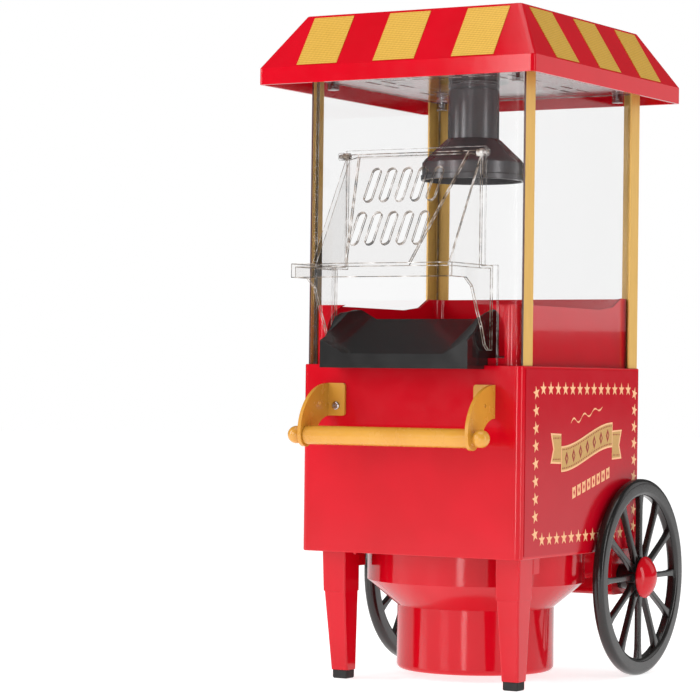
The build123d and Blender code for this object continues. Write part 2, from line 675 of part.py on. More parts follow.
def make_front_hatch():
    """Clear hatch in one moulding: faceted hood, rim with cheeks, steam slots and hinge eyes."""
    hatch = block((-HATCH_RIM_HALF, HATCH_RIM_HALF), (HATCH_FRONT, HATCH_BACK),
                  (HATCH_RIM_LOW, HATCH_RIM_TOP))
    inner_half = HATCH_RIM_HALF - HATCH_WALL
    hatch -= block((-inner_half, inner_half), (HATCH_FRONT + HATCH_WALL, HATCH_BACK + BEYOND),
                   (HATCH_RIM_LOW - BEYOND, HATCH_RIM_TOP - HATCH_WALL))
    hatch += hatch_hood(0)
    hatch -= hatch_hood(HATCH_WALL)
    hatch += hatch_cheek()
    hatch += mirrored(hatch_cheek())
    for start, end in SLOT_ROWS:
        for step in range(SLOT_COUNT):
            x = (step - (SLOT_COUNT - 1) / 2) * SLOT_PITCH
            centre = FACET_TOP + FACET_DOWN * ((start + end) / 2) + Vector(x, 0, 0)
            face = Plane(origin=centre, x_dir=FACET_DOWN, z_dir=FACET_OUT) * SlotOverall(end - start, SLOT_WIDTH)
            hatch -= extrude(face, HATCH_WALL * 2, both=True)
    for side in (-1, 1):
        x = sorted((side * EYE_X[0], side * EYE_X[1]))
        hatch += bar(HATCH_HINGE_OUT, x, HINGE_Y, HINGE_Z)
        hatch -= bar(PIN_R + PIN_CLEARANCE, x, HINGE_Y, HINGE_Z)
    return hatch


def make_hinge_pins():
    """Short pins pressed into the lugs of the front window."""
    pins = []
    for side in (-1, 1):
        x = sorted((side * (EYE_X[0] + 0.5), side * LUG_X[1]))
        pins.append(bar(PIN_R, x, HINGE_Y, HINGE_Z))
    return group(pins)


# ---------------------------------------------------------------- spout and basin
def make_spout():
    """Black spout: a sloping channel whose side walls rise towards the basin."""
    step_y = BODY_FRONT - SNUG
    sill = BODY_TOP + 0.2
    seat_y = BASIN_FRONT - SNUG
    outline = [(SPOUT_FRONT, SPOUT_BOTTOM), (step_y, SPOUT_BOTTOM), (step_y, sill), (seat_y, sill)]
    outline += [(seat_y, CHAMBER_SEAT), (SPOUT_REAR, CHAMBER_SEAT), (SPOUT_REAR, SPOUT_TOP)]
    outline += [(SPOUT_REAR - reach, SPOUT_TOP - drop) for reach, drop in SPOUT_SHOULDER]
    outline += [(SPOUT_FRONT, SPOUT_SIDE)]
    spout = side_profile(outline, (-SPOUT_HALF, SPOUT_HALF))
    lip_end = channel_section(SPOUT_FRONT - 0.5, SPOUT_LIP)
    spout -= loft([lip_end, channel_section(SPOUT_REAR + 0.5, SPOUT_TOP - 6)])
    w = SPOUT_WALL
    hollow = (
        (SPOUT_FRONT + w, SPOUT_BOTTOM), (step_y - w, SPOUT_BOTTOM), (step_y - w, SPOUT_LIP + 7),
        (SPOUT_FRONT + w, SPOUT_LIP - w),
    )
    return spout - side_profile(hollow, (w - SPOUT_HALF, SPOUT_HALF - w))


def channel_section(y, floor):
    """Cross-section of the open channel: a flat floor, flared sides, then upright ones."""
    flare = SPOUT_SIDE - SPOUT_LIP
    wide = SPOUT_HALF - SPOUT_FLANK
    lip = SPOUT_LIP_HALF
    high = floor + flare + 26
    points = ((-lip, floor), (lip, floor), (wide, floor + flare), (wide, high), (-wide, high),
              (-wide, floor + flare))
    return Plane((0, y, 0), x_dir=(1, 0, 0), z_dir=(0, -1, 0)) * make_face(Polyline(*points, close=True))


def make_basin():
    """Red tub inside the windows, with a raised rim and a mouth in front for the spout."""
    y = (BASIN_FRONT, BASIN_REAR)
    inner_y = (BASIN_FRONT + BASIN_WALL, BASIN_REAR - BASIN_WALL)
    inner_x = BASIN_X - BASIN_WALL
    inner_corner = BASIN_CORNER - BASIN_WALL
    basin = tile(BASIN_X, y, (LEDGE_Z, BASIN_REAR_TOP), BASIN_CORNER)
    basin -= tile(inner_x, inner_y, (CHAMBER_SEAT, BASIN_REAR_TOP), inner_corner)
    basin -= tile(inner_x, inner_y, (LEDGE_Z, BASIN_FLOOR), inner_corner)
    before = BASIN_FRONT - BEYOND
    above = BASIN_REAR_TOP + BEYOND
    rise = ((before, BASIN_SIDE_TOP), (BASIN_REAR - 51.7, BASIN_SIDE_TOP),
            (BASIN_REAR - 29.7, BASIN_SIDE_TOP + 2.4), (BASIN_REAR - 15.7, BASIN_REAR_TOP),
            (BASIN_REAR - 15.7, above), (before, above))
    basin -= side_profile(rise, (-BASIN_X - BEYOND, BASIN_X + BEYOND))
    flange = tile(INNER_X - SNUG, (SNUG - INNER_Y, INNER_Y - SNUG), (LEDGE_Z, PANE_BOTTOM), INNER_CORNER - 0.5)
    basin += flange - tile(inner_x, inner_y, (LEDGE_Z, PANE_BOTTOM), inner_corner)
    mouth_z = BASIN_SIDE_TOP + 1 - CHAMBER_SEAT
    mouth = Rectangle(2 * MOUTH_HALF, mouth_z)
    mouth = fillet(mouth.vertices().group_by(Axis.Y)[-1], MOUTH_SHOULDER)
    middle = (0, BASIN_FRONT + BASIN_WALL, CHAMBER_SEAT + mouth_z / 2)
    place = Plane(middle, x_dir=(1, 0, 0), z_dir=(0, -1, 0))
    basin -= extrude(place * mouth, BASIN_WALL)
    basin -= post(CHAMBER_R + SNUG, (BASIN_FLOOR, CHAMBER_SEAT), 0, WORKS_Y)
    return basin


# ---------------------------------------------------------------- popping works
def make_chamber_gasket():
    return ring(CHAMBER_R + CHAMBER_RIM, CHAMBER_R + SNUG, (CHAMBER_SEAT, CHAMBER_SEAT + GASKET), 0, WORKS_Y)


def make_popping_chamber():
    """Aluminium cup with slanted hot-air louvres round its foot."""
    r = CHAMBER_R
    w = CHAMBER_WALL
    top = CHAMBER_SEAT + GASKET + w
    outline = (
        (0, CHAMBER_BOTTOM), (r - 6, CHAMBER_BOTTOM), (r, CHAMBER_BOTTOM + 6), (r, top - w),
        (r + CHAMBER_RIM, top - w), (r + CHAMBER_RIM, top), (r - w, top), (r - w, CHAMBER_BOTTOM + 6.5),
        (r - 6.5, CHAMBER_BOTTOM + w), (0, CHAMBER_BOTTOM + w),
    )
    cup = turned(outline, WORKS_Y)
    for turn in range(LOUVRES):
        louvre = Pos(r, 0, CHAMBER_BOTTOM + 14) * Rot(35, 0, 0) * Box(8, 1.6, 11)
        cup -= Pos(0, WORKS_Y, 0) * Rot(0, 0, 360 / LOUVRES * turn) * louvre
    return cup


def make_air_duct():
    """Sheet-metal sleeve that leads the air from the fan, past the heater, to the chamber."""
    outer = ring(DUCT_R, DUCT_R - DUCT_WALL, (PAN_TOP, BASIN_FLOOR), 0, WORKS_Y)
    foot = ring(DUCT_R + 5, DUCT_R - DUCT_WALL, (PAN_TOP, PAN_TOP + DUCT_WALL), 0, WORKS_Y)
    return outer + foot


def coil_levels():
    low, high = HEATER_Z
    return [low + 6 + (high - low - 12) * turn / (COIL_TURNS - 1) for turn in range(COIL_TURNS)]


def make_heater_frame():
    """Two crossed mica sheets, notched for the coil."""
    reach = DUCT_R - DUCT_WALL
    sheet = around(0, MICA)
    cross = block((-reach, reach), sheet, HEATER_Z) + block(sheet, (-reach, reach), HEATER_Z)
    cross &= post(reach - 0.1, HEATER_Z)
    for z in coil_levels():
        cross -= Pos(0, 0, z) * Torus(HEATER_R, COIL_WIRE + 0.15)
    return Pos(0, WORKS_Y, 0) * cross


def make_heater_coil():
    """Turns of resistance wire round the mica cross."""
    return group([Pos(0, WORKS_Y, z) * Torus(HEATER_R, COIL_WIRE) for z in coil_levels()])


def make_thermostat():
    """Snap-disc thermostat strapped to the outside of the duct."""
    disc = bar(8.0, (DUCT_R, DUCT_R + 5), WORKS_Y, THERMOSTAT_Z)
    disc += bar(6.0, (DUCT_R + 5, DUCT_R + 9), WORKS_Y, THERMOSTAT_Z)
    return disc - post(DUCT_R, around(THERMOSTAT_Z, 30.0), 0, WORKS_Y)


def make_thermal_fuse():
    """Barrel fuse held beside the thermostat."""
    return post(2.0, around(THERMOSTAT_Z, 12.0), -DUCT_R - 2.0, WORKS_Y)


def make_motor_plate():
    """Spider plate that carries the motor and lets air through."""
    z = (MOTOR_PLATE_Z, MOTOR_PLATE_Z + SHEET)
    plate = post(MOTOR_PLATE_R, z, 0, WORKS_Y) - post(SHAFT_R + 2, z, 0, WORKS_Y)
    for turn in range(6):
        hole = Pos(0, WORKS_Y, z[0]) * Rot(0, 0, 30 + 60 * turn) * Pos(31, 0) * SlotOverall(20.0, 11.0)
        plate -= extrude(hole, SHEET)
    for x, y in MOTOR_PLATE_SCREWS:
        plate -= post(SCREW_R + SCREW_CLEARANCE, z, x, y)
    return plate


def make_motor():
    """Can motor under the spider plate."""
    can = post(MOTOR_R, (MOTOR_BOTTOM, MOTOR_PLATE_Z), 0, WORKS_Y)
    can = fillet(can.edges().filter_by(GeomType.CIRCLE).sort_by(Axis.Z)[0], 2.0)
    bore = (MOTOR_BOTTOM + 4, MOTOR_PLATE_Z)
    can -= post(SHAFT_R + SHAFT_CLEARANCE, bore, 0, WORKS_Y)
    for side in (-1, 1):
        can += block(around(side * 10, 5.0), around(WORKS_Y, 0.8), (MOTOR_BOTTOM - 4, MOTOR_BOTTOM))
    return can


def make_motor_shaft():
    return post(SHAFT_R, (MOTOR_BOTTOM + 5, FAN_Z + FAN_HEIGHT), 0, WORKS_Y)


def make_fan_wheel():
    """Impeller: a disc with upright blades and a hub pressed on the shaft."""
    fan = post(FAN_R, (FAN_Z, FAN_Z + 1.5)) + post(6.0, (FAN_Z, FAN_Z + FAN_HEIGHT))
    for turn in range(FAN_BLADES):
        blade = Pos(24.5, 0, FAN_Z + FAN_HEIGHT / 2) * Rot(0, 0, 28) * Box(28, 1.4, FAN_HEIGHT)
        fan += Rot(0, 0, 360 / FAN_BLADES * turn) * blade
    fan &= post(FAN_R, (FAN_Z, FAN_Z + FAN_HEIGHT))
    fan -= post(SHAFT_R, (FAN_Z, FAN_Z + FAN_HEIGHT))
    return Pos(0, WORKS_Y, 0) * fan


def make_circuit_board():
    """Rectifier board on four stand-offs."""
    board = block(BOARD_X, BOARD_Y, (BOARD_Z, BOARD_Z + BOARD_THICKNESS))
    for x in (BOARD_X[0] + 3, BOARD_X[1] - 3):
        for y in (BOARD_Y[0] + 3, BOARD_Y[1] - 3):
            board += post(1.8, (PAN_TOP, BOARD_Z), x, y)
    return board


def make_board_diodes():
    z = BOARD_Z + BOARD_THICKNESS + DIODE_R
    x = (BOARD_X[0] + 7, BOARD_X[1] - 7)
    return group([bar(DIODE_R, x, BOARD_Y[0] + 8 + 8 * step, z) for step in range(4)])


# ---------------------------------------------------------------- handle
def make_ear_bracket():
    """Right-hand handle bracket: a screwed flange and a curved ear round the bar."""
    heel = (BODY_FRONT, BAR_Z + 1.5)
    top_arc = EllipticalCenterArc(heel, BODY_FRONT - BAR_Y + 8, FLANGE_TOP - heel[1], 90, arc_size=90)
    quarter = make_face(top_arc + Polyline(top_arc @ 1, heel, top_arc @ 0))
    ear = quarter + Pos(BAR_Y, BAR_Z) * Circle(BAR_R + 1.6)
    ear -= Pos(BODY_FRONT, FLANGE_BOTTOM - EAR_HOLLOW_R) * Circle(EAR_HOLLOW_R)
    ear -= Pos(BAR_Y, BAR_Z) * Circle(BAR_NECK_R)
    ear -= Pos(BODY_FRONT - 14, FLANGE_BOTTOM + 8.5) * Circle(1.5)
    bracket = extrude(Plane.YZ.offset(EAR_INNER) * ear, EAR_THICKNESS)
    flange = block((FLANGE_INNER, EAR_INNER), (BODY_FRONT - FLANGE_THICKNESS, BODY_FRONT),
                   (FLANGE_BOTTOM, FLANGE_TOP))
    flange = fillet(flange.edges().filter_by(Axis.Y).sort_by(Axis.X)[:2], FLANGE_CORNER)
    flange -= stud(SCREW_R + SCREW_CLEARANCE, (BODY_FRONT - 5, BODY_FRONT + 1), SCREW_X, SCREW_Z)
    return bracket + flange


def make_handle_bar():
    """Round bar between the ears, with a thinner neck through each ear."""
    handle = bar(BAR_R, (0.2 - EAR_INNER, EAR_INNER - 0.2), BAR_Y, BAR_Z)
    return handle + bar(BAR_NECK_R - 0.05, (-EAR_OUTER - 3, EAR_OUTER + 3), BAR_Y, BAR_Z)


def make_handle_knob():
    """Right-hand ball end, screwed on the neck of the bar."""
    knob = Pos(KNOB_X, BAR_Y, BAR_Z) * Sphere(KNOB_R)
    knob += bar(BAR_NECK_R + 0.9, (EAR_OUTER, KNOB_X), BAR_Y, BAR_Z)
    return knob - bar(BAR_NECK_R - 0.05, (EAR_OUTER - 2, EAR_OUTER + 3), BAR_Y, BAR_Z)


def make_bracket_screws():
    screws = []
    for side in (-1, 1):
        upright = screw_down(0, 0, 0, 8.0)
        place = Pos(side * SCREW_X, BODY_FRONT - FLANGE_THICKNESS, SCREW_Z) * Rot(90, 0, 0)
        screws.append(place * upright)
    return group(screws)


# ---------------------------------------------------------------- legs and feet
def leg_section(z, inner, outer, front, rear):
    """Rounded cross-section; each argument after z is how far that face is moved inwards."""
    width = LEG_WIDTH - inner - outer
    plan = RectangleRounded(width, LEG_DEPTH - front - rear, LEG_CORNER)
    return Pos(LEG_INNER + inner + width / 2, (LEG_FRONT + front + LEG_REAR - rear) / 2, z) * plan


def make_front_leg():
    """Right-hand leg: a sleeve at the top and a longer tapered shank below a step."""
    s = SLEEVE_STEP
    sleeve = loft([leg_section(SLEEVE_BOTTOM, 0, 0.8, 0.6, 0), leg_section(BODY_BOTTOM, 0, 0, 0, 0)])
    step = leg_section(SLEEVE_BOTTOM, s, 0.8 + s, 0.6 + s, s)
    shank = loft([leg_section(FOOT_HEIGHT, 1.6, 4.1, 7.5, 0.7), step])
    return sleeve + shank - post(SCREW_R, (BODY_BOTTOM - 12, BODY_BOTTOM), LEG_MIDDLE_X, LEG_MIDDLE_Y)


def make_rubber_foot():
    inset = FOOT_INSET
    foot = extrude(leg_section(0, 1.6 + inset, 4.1 + inset, 7.5 + inset, 0.7 + inset), FOOT_HEIGHT)
    return chamfer(rim_edges(foot, 0), 0.8)


# ---------------------------------------------------------------- wheels and axle
def wheel_ring():
    middle = WHEEL_R - RIM_RADIAL / 2
    section = Pos(middle, 0) * RectangleRounded(RIM_RADIAL, RIM_WIDTH, RIM_ROUND)
    return revolve(Plane.XZ * section, Axis.Z)


def make_wheel():
    """Right-hand wheel: rounded rim, twelve spokes, hub and inboard sleeve."""
    inner = WHEEL_R - RIM_RADIAL
    wheel = wheel_ring() + Cylinder(HUB_R, RIM_WIDTH)
    for turn in range(SPOKES):
        spoke = Pos((HUB_R + inner) / 2, 0, 0) * Box(inner - HUB_R + 4, SPOKE_WIDTH, SPOKE_WIDTH)
        wheel += Rot(0, 0, 360 / SPOKES * turn) * spoke
    sleeve_end = -(WHEEL_MIDDLE - BEAM_HALF_X - SNUG)
    wheel += post(SLEEVE_R, (sleeve_end, 0))
    wheel -= post(AXLE_R + AXLE_CLEARANCE, (sleeve_end, RIM_WIDTH))
    wheel -= post(RECESS_R, (RIM_WIDTH / 2 - RECESS_DEPTH, RIM_WIDTH / 2))
    return Pos(WHEEL_MIDDLE, WHEEL_Y, WHEEL_R) * Rot(0, 90, 0) * wheel


def make_hub_cap():
    """Red domed cap that clips into the wheel's hub."""
    face = WHEEL_OUTER_FACE
    sphere_r = (CAP_R ** 2 + CAP_DOME ** 2) / (2 * CAP_DOME)
    dome = Pos(0, 0, CAP_DOME + CAP_EDGE - sphere_r) * Sphere(sphere_r)
    dome &= post(CAP_R, (CAP_EDGE, CAP_EDGE + CAP_DOME))
    cap = dome + post(CAP_R, (0, CAP_EDGE)) + post(RECESS_R - 0.1, (0.2 - RECESS_DEPTH, 0))
    cap -= post(RECESS_R - 2.0, (-RECESS_DEPTH, 3.0))
    return Pos(face, WHEEL_Y, WHEEL_R) * Rot(0, 90, 0) * cap


def make_axle_rod():
    return bar(AXLE_R, (-AXLE_END, AXLE_END), WHEEL_Y, WHEEL_R)


def make_axle_clips():
    """Push-on retainers that keep the wheels on the rod."""
    seat = WHEEL_OUTER_FACE - RECESS_DEPTH + 0.3
    clips = []
    for side in (-1, 1):
        x = sorted((side * seat, side * (seat + 2.0)))
        clips.append(bar(CLIP_R, x, WHEEL_Y, WHEEL_R) - bar(AXLE_R, x, WHEEL_Y, WHEEL_R))
    return group(clips)


def make_axle_beam():
    """Hollow red beam under the body that carries the axle rod."""
    y = (WHEEL_Y - BEAM_HALF_Y, WHEEL_Y + BEAM_HALF_Y)
    z = (WHEEL_R - BEAM_BELOW_AXLE, BODY_BOTTOM)
    beam = block((-BEAM_HALF_X, BEAM_HALF_X), y, z)
    beam = fillet(beam.edges().filter_by(Axis.X).sort_by(Axis.Z)[:2], BEAM_EDGE)
    w = DRUM_WALL
    beam -= block((w - BEAM_HALF_X, BEAM_HALF_X - w), (y[0] + w, y[1] - w), (z[0] + w, z[1]))
    return beam - bar(AXLE_R + 0.05, (-BEAM_HALF_X, BEAM_HALF_X), WHEEL_Y, WHEEL_R)


# ---------------------------------------------------------------- rear fittings, labels and screws
def make_switch_housing():
    """Snap-in body of the mains switch, with a bezel outside the rear wall."""
    half_w = SWITCH_WIDTH / 2
    half_h = SWITCH_HEIGHT / 2
    x = (SWITCH_X - half_w, SWITCH_X + half_w)
    z = (SWITCH_Z - half_h, SWITCH_Z + half_h)
    front = BODY_HALF_Y + SWITCH_BEZEL
    bezel = block((x[0] - 2, x[1] + 2), (BODY_HALF_Y, front), (z[0] - 2, z[1] + 2))
    bezel = fillet(bezel.edges().filter_by(Axis.Y), 1.2)
    barrel = block((x[0] + 0.2, x[1] - 0.2), (BODY_HALF_Y - SWITCH_DEPTH, BODY_HALF_Y), (z[0] + 0.2, z[1] - 0.2))
    return bezel + barrel - block((x[0] + 2, x[1] - 2), (BODY_HALF_Y - 14, front), (z[0] + 2, z[1] - 2))


def make_switch_rocker():
    """Rocker key that tips about a pin across the switch body."""
    half_w = SWITCH_WIDTH / 2 - 2.0 - SNUG
    r = SWITCH_HEIGHT / 2 - 2.0 - SNUG
    wedge = ((-2.0, 1.0 - r), (-2.0, r - 1.0), (3.4, r - 0.4), (1.6, 0), (5.2, 0.4 - r))
    return Pos(SWITCH_X, ROCKER_PIN_Y, SWITCH_Z) * side_profile(wedge, (-half_w, half_w))


def make_cord_gland():
    """Round grommet where the mains lead would enter."""
    y = BODY_HALF_Y
    gland = stud(GLAND_R - 0.1, (y - BODY_WALL - 2, y + 1), GLAND_X, GLAND_Z)
    gland += stud(GLAND_R + 2, (y, y + 2), GLAND_X, GLAND_Z)
    gland += stud(GLAND_R + 1.2, (y - BODY_WALL - 2, y - BODY_WALL), GLAND_X, GLAND_Z)
    return gland - stud(3.0, (y - BODY_WALL - 3, y + 3), GLAND_X, GLAND_Z)


def make_side_label():
    """Thin printed sheet on the right-hand side of the body."""
    y = (LABEL_MARGIN - BODY_HALF_Y, BODY_HALF_Y - LABEL_MARGIN)
    z = (BODY_BOTTOM + LABEL_MARGIN_Z, BODY_TOP - LABEL_MARGIN_Z)
    return block((BODY_HALF_X, BODY_HALF_X + LABEL_SKIN), y, z)


def make_pan_screws():
    """Screws through the pan into the legs and the machinery housing."""
    screws = [screw_down(side * LEG_MIDDLE_X, LEG_MIDDLE_Y, PAN_TOP, 12.0) for side in (-1, 1)]
    screws += [screw_down(x, y, PAN_TOP, 8.0) for x, y in HOUSING_SCREWS]
    return group(screws)


def make_ceiling_screws():
    return group([screw_down(x, y, CEILING_TOP, 7.0) for x, y in CEILING_SCREWS])


def make_motor_plate_screws():
    return group([screw_down(x, y, MOTOR_PLATE_Z + SHEET, 5.0) for x, y in MOTOR_PLATE_SCREWS])


# ---------------------------------------------------------------- one file per piece
SINGLE = {
    "cart_body": make_cart_body,
    "base_pan": make_base_pan,
    "motor_housing": make_motor_housing,
    "front_window": make_front_window,
    "rear_window": make_rear_window,
    "ceiling_plate": make_ceiling_plate,
    "feed_tube": make_feed_tube,
    "kettle_hood": make_kettle_hood,
    "feed_collar": make_feed_collar,
    "kernel_cup": make_kernel_cup,
    "roof_shell": make_roof_shell,
    "roof_stripes": make_roof_stripes,
    "front_hatch": make_front_hatch,
    "hinge_pins": make_hinge_pins,
    "spout": make_spout,
    "basin": make_basin,
    "chamber_gasket": make_chamber_gasket,
    "popping_chamber": make_popping_chamber,
    "air_duct": make_air_duct,
    "heater_frame": make_heater_frame,
    "heater_coil": make_heater_coil,
    "thermostat": make_thermostat,
    "thermal_fuse": make_thermal_fuse,
    "motor_plate": make_motor_plate,
    "motor": make_motor,
    "motor_shaft": make_motor_shaft,
    "fan_wheel": make_fan_wheel,
    "circuit_board": make_circuit_board,
    "board_diodes": make_board_diodes,
    "handle_bar": make_handle_bar,
    "bracket_screws": make_bracket_screws,
    "axle_rod": make_axle_rod,
    "axle_clips": make_axle_clips,
    "axle_beam": make_axle_beam,
    "switch_housing": make_switch_housing,
    "switch_rocker": make_switch_rocker,
    "cord_gland": make_cord_gland,
    "pan_screws": make_pan_screws,
    "ceiling_screws": make_ceiling_screws,
    "motor_plate_screws": make_motor_plate_screws,
}

# Pieces made once for the right-hand side and mirrored for the left
PAIRED = {
    "side_window": make_side_window,
    "front_post": make_front_post,
    "rear_post": make_rear_post,
    "handle_bracket": make_ear_bracket,
    "handle_knob": make_handle_knob,
    "front_leg": make_front_leg,
    "rubber_foot": make_rubber_foot,
    "wheel": make_wheel,
    "hub_cap": make_hub_cap,
    "side_label": make_side_label,
}

os.makedirs("parts", exist_ok=True)
for name, make in SINGLE.items():
    export_step(make(), f"parts/{name}.step")
for name, make in PAIRED.items():
    right = make()
    export_step(right, f"parts/{name}_right.step")
    export_step(mirrored(right), f"parts/{name}_left.step")
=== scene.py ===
# %% [markdown]
# # A carnival-cart popcorn maker in Blender
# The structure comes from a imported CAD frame: every mechanical piece is already there, in metres, at its
# real place. What is left to do here is what the eye sees: soft moulded edges, clear plastic, brushed
# gold, printed labels, and the light that shows them. Each cell below makes one piece or one finish.

# %% Load the frame
import bpy
import bmesh
from math import asin, cos, degrees, pi, radians, sin
from mathutils import Matrix, Vector


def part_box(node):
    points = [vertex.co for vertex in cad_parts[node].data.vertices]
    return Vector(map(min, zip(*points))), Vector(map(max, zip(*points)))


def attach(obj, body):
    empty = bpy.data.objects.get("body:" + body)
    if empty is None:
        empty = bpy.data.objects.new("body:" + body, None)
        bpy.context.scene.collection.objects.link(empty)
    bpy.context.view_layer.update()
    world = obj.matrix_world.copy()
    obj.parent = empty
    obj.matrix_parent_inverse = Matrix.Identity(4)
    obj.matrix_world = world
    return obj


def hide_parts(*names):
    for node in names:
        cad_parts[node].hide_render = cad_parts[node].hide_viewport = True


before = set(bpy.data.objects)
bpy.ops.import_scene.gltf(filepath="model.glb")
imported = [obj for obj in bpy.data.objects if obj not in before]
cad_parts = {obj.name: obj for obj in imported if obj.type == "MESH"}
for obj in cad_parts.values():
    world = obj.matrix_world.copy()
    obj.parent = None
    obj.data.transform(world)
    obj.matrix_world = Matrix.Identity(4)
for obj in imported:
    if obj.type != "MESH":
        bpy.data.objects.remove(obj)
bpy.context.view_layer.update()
MM = 0.001

# %% [markdown]
# The camera stands to the right of the cart's front and nearly level with its middle. A long lens keeps
# the upright posts almost parallel. The camera leans a little, so it gets a small roll about its own axis.

# %% Camera
LENS_MM = 142.6
CAMERA_AT = Vector((0.9196, -1.7375, 0.2065))
CAMERA_TURN = radians(30.48)
CAMERA_TILT = radians(0.67)
CAMERA_ROLL = radians(0.72)

camera = bpy.data.objects.new("camera", bpy.data.cameras.new("camera"))
camera.data.lens = LENS_MM
camera.data.sensor_width = 36.0
camera.data.clip_end = 50.0
turn = Matrix.Rotation(CAMERA_TURN, 4, "Z") @ Matrix.Rotation(pi / 2 + CAMERA_TILT, 4, "X")
camera.matrix_world = Matrix.Translation(CAMERA_AT) @ turn @ Matrix.Rotation(CAMERA_ROLL, 4, "Z")
bpy.context.scene.collection.objects.link(camera)
bpy.context.scene.camera = camera
print("camera height", round(CAMERA_AT.z, 3), "m")

# %% [markdown]
# A studio for shiny plastic is mostly large white cards. What the lens and the clear panes see is plain
# white, but what the glossy plastic mirrors is much dimmer, as if the cards stood only behind the cart.
# Without that, every red face would carry a milky veil. Soft boxes then put back the highlights that matter:
# a key on the left, a brow on the roof's slope, a low one on the front, one on the side, and a dim card
# behind. None of them stands where the front pane would mirror it into the lens, because that would veil
# the feed tube.

# %% Studio
scene = bpy.context.scene
scene.view_settings.view_transform = "Standard"
world = bpy.data.worlds.new("studio_world")
world.use_nodes = True
backdrop = world.node_tree
glow = backdrop.nodes["Background"]
glow.inputs["Color"].default_value = (1.0, 1.0, 1.0, 1.0)
rays = backdrop.nodes.new("ShaderNodeLightPath")
DIFFUSE_GLOW = 0.68
MIRROR_GLOW = 0.09


def pick(tree, switch, when_off, when_on):
    """One number for some rays and another for the rest."""
    choice = tree.nodes.new("ShaderNodeMix")
    tree.links.new(switch, choice.inputs["Factor"])
    for socket, value in (("A", when_off), ("B", when_on)):
        if isinstance(value, float):
            choice.inputs[socket].default_value = value
        else:
            tree.links.new(value, choice.inputs[socket])
    return choice.outputs["Result"]


def has_bounced(output):
    """1 once a ray has had a bounce of this kind."""
    test = backdrop.nodes.new("ShaderNodeMath")
    test.operation = "GREATER_THAN"
    test.inputs[1].default_value = 0.5
    backdrop.links.new(rays.outputs[output], test.inputs[0])
    return test.outputs["Value"]


strength = pick(backdrop, has_bounced("Diffuse Depth"), 1.0, DIFFUSE_GLOW)
strength = pick(backdrop, has_bounced("Glossy Depth"), strength, MIRROR_GLOW)
backdrop.links.new(strength, glow.inputs["Strength"])
scene.world = world


def soft_box(name, at, aim, width, height, watts):
    """A rectangular area light that looks at a point."""
    light = bpy.data.lights.new(name, "AREA")
    light.shape = "RECTANGLE"
    light.size = width
    light.size_y = height
    light.energy = watts
    lamp = bpy.data.objects.new(name, light)
    lamp.location = at
    lamp.rotation_euler = (Vector(aim) - Vector(at)).to_track_quat("-Z", "Y").to_euler()
    scene.collection.objects.link(lamp)


MIDDLE = (0.0, 0.0, 0.25)
soft_box("key_box", (-1.55, -1.1, 0.9), MIDDLE, 0.5, 1.3, 13.0)
soft_box("brow_box", (-0.61, -1.9, 0.80), (0.0, -0.1, 0.80), 0.42, 1.08, 8.0)
soft_box("corner_box", (0.45, -2.15, 0.18), (0.0, -0.1, 0.15), 0.26, 0.5, 3.6)
soft_box("side_box", (1.9, -0.2, 0.7), MIDDLE, 0.4, 1.5, 7.0)
soft_box("back_card", (1.05, 1.55, 0.98), (0.1, 0.0, 0.98), 0.9, 1.4, 2.4)
soft_box("top_box", (0.0, -0.2, 1.8), MIDDLE, 1.2, 1.2, 8.0)

# %% Floor
floor_mesh = bmesh.new()
bmesh.ops.create_circle(floor_mesh, cap_ends=True, segments=96, radius=9.0)
floor = bpy.data.objects.new("studio_floor", bpy.data.meshes.new("studio_floor"))
floor_mesh.to_mesh(floor.data)
floor_mesh.free()
scene.collection.objects.link(floor)

# %% [markdown]
# Every finish starts as one Principled shader. A helper makes the material, and a second one joins a noise
# to a colour ramp, because most moulded plastic differs only by how much its colour, gloss and skin vary.

# %% Helpers for finishes
def new_finish(name):
    """A material with its node tree and its shader."""
    material = bpy.data.materials.new(name)
    material.use_nodes = True
    tree = material.node_tree
    return material, tree, tree.nodes["Principled BSDF"]


def stretched_place(tree, scale):
    """Object coordinates, stretched, so that a grain can run one way."""
    place = tree.nodes.new("ShaderNodeTexCoord")
    mapping = tree.nodes.new("ShaderNodeMapping")
    mapping.inputs["Scale"].default_value = scale
    tree.links.new(place.outputs["Object"], mapping.inputs["Vector"])
    return mapping.outputs["Vector"]


def noise(tree, size_mm, detail=3.0, stretch=(1.0, 1.0, 1.0)):
    """A noise whose blotches are about this many millimetres across."""
    texture = tree.nodes.new("ShaderNodeTexNoise")
    texture.inputs["Scale"].default_value = 1.0 / (size_mm * MM)
    texture.inputs["Detail"].default_value = detail
    tree.links.new(stretched_place(tree, stretch), texture.inputs["Vector"])
    return texture.outputs["Fac"]


def ramp(tree, factor, *stops):
    """A colour ramp; each stop is (position, colour)."""
    table = tree.nodes.new("ShaderNodeValToRGB")
    entries = table.color_ramp.elements
    while len(entries) < len(stops):
        entries.new(0.5)
    for entry, (position, colour) in zip(entries, stops):
        entry.position = position
        entry.color = (*colour, 1.0)
    tree.links.new(factor, table.inputs["Fac"])
    return table.outputs["Color"]


def span(tree, factor, low, high):
    """Maps a noise onto a range of numbers."""
    node = tree.nodes.new("ShaderNodeMapRange")
    node.inputs["From Min"].default_value = 0.3
    node.inputs["From Max"].default_value = 0.7
    node.inputs["To Min"].default_value = low
    node.inputs["To Max"].default_value = high
    tree.links.new(factor, node.inputs["Value"])
    return node.outputs["Result"]


def dent(tree, shader, height, depth_mm, strength=1.0):
    """Bump of a given depth from a height."""
    bump = tree.nodes.new("ShaderNodeBump")
    bump.inputs["Distance"].default_value = depth_mm * MM
    bump.inputs["Strength"].default_value = strength
    tree.links.new(height, bump.inputs["Height"])
    tree.links.new(bump.outputs["Normal"], shader.inputs["Normal"])


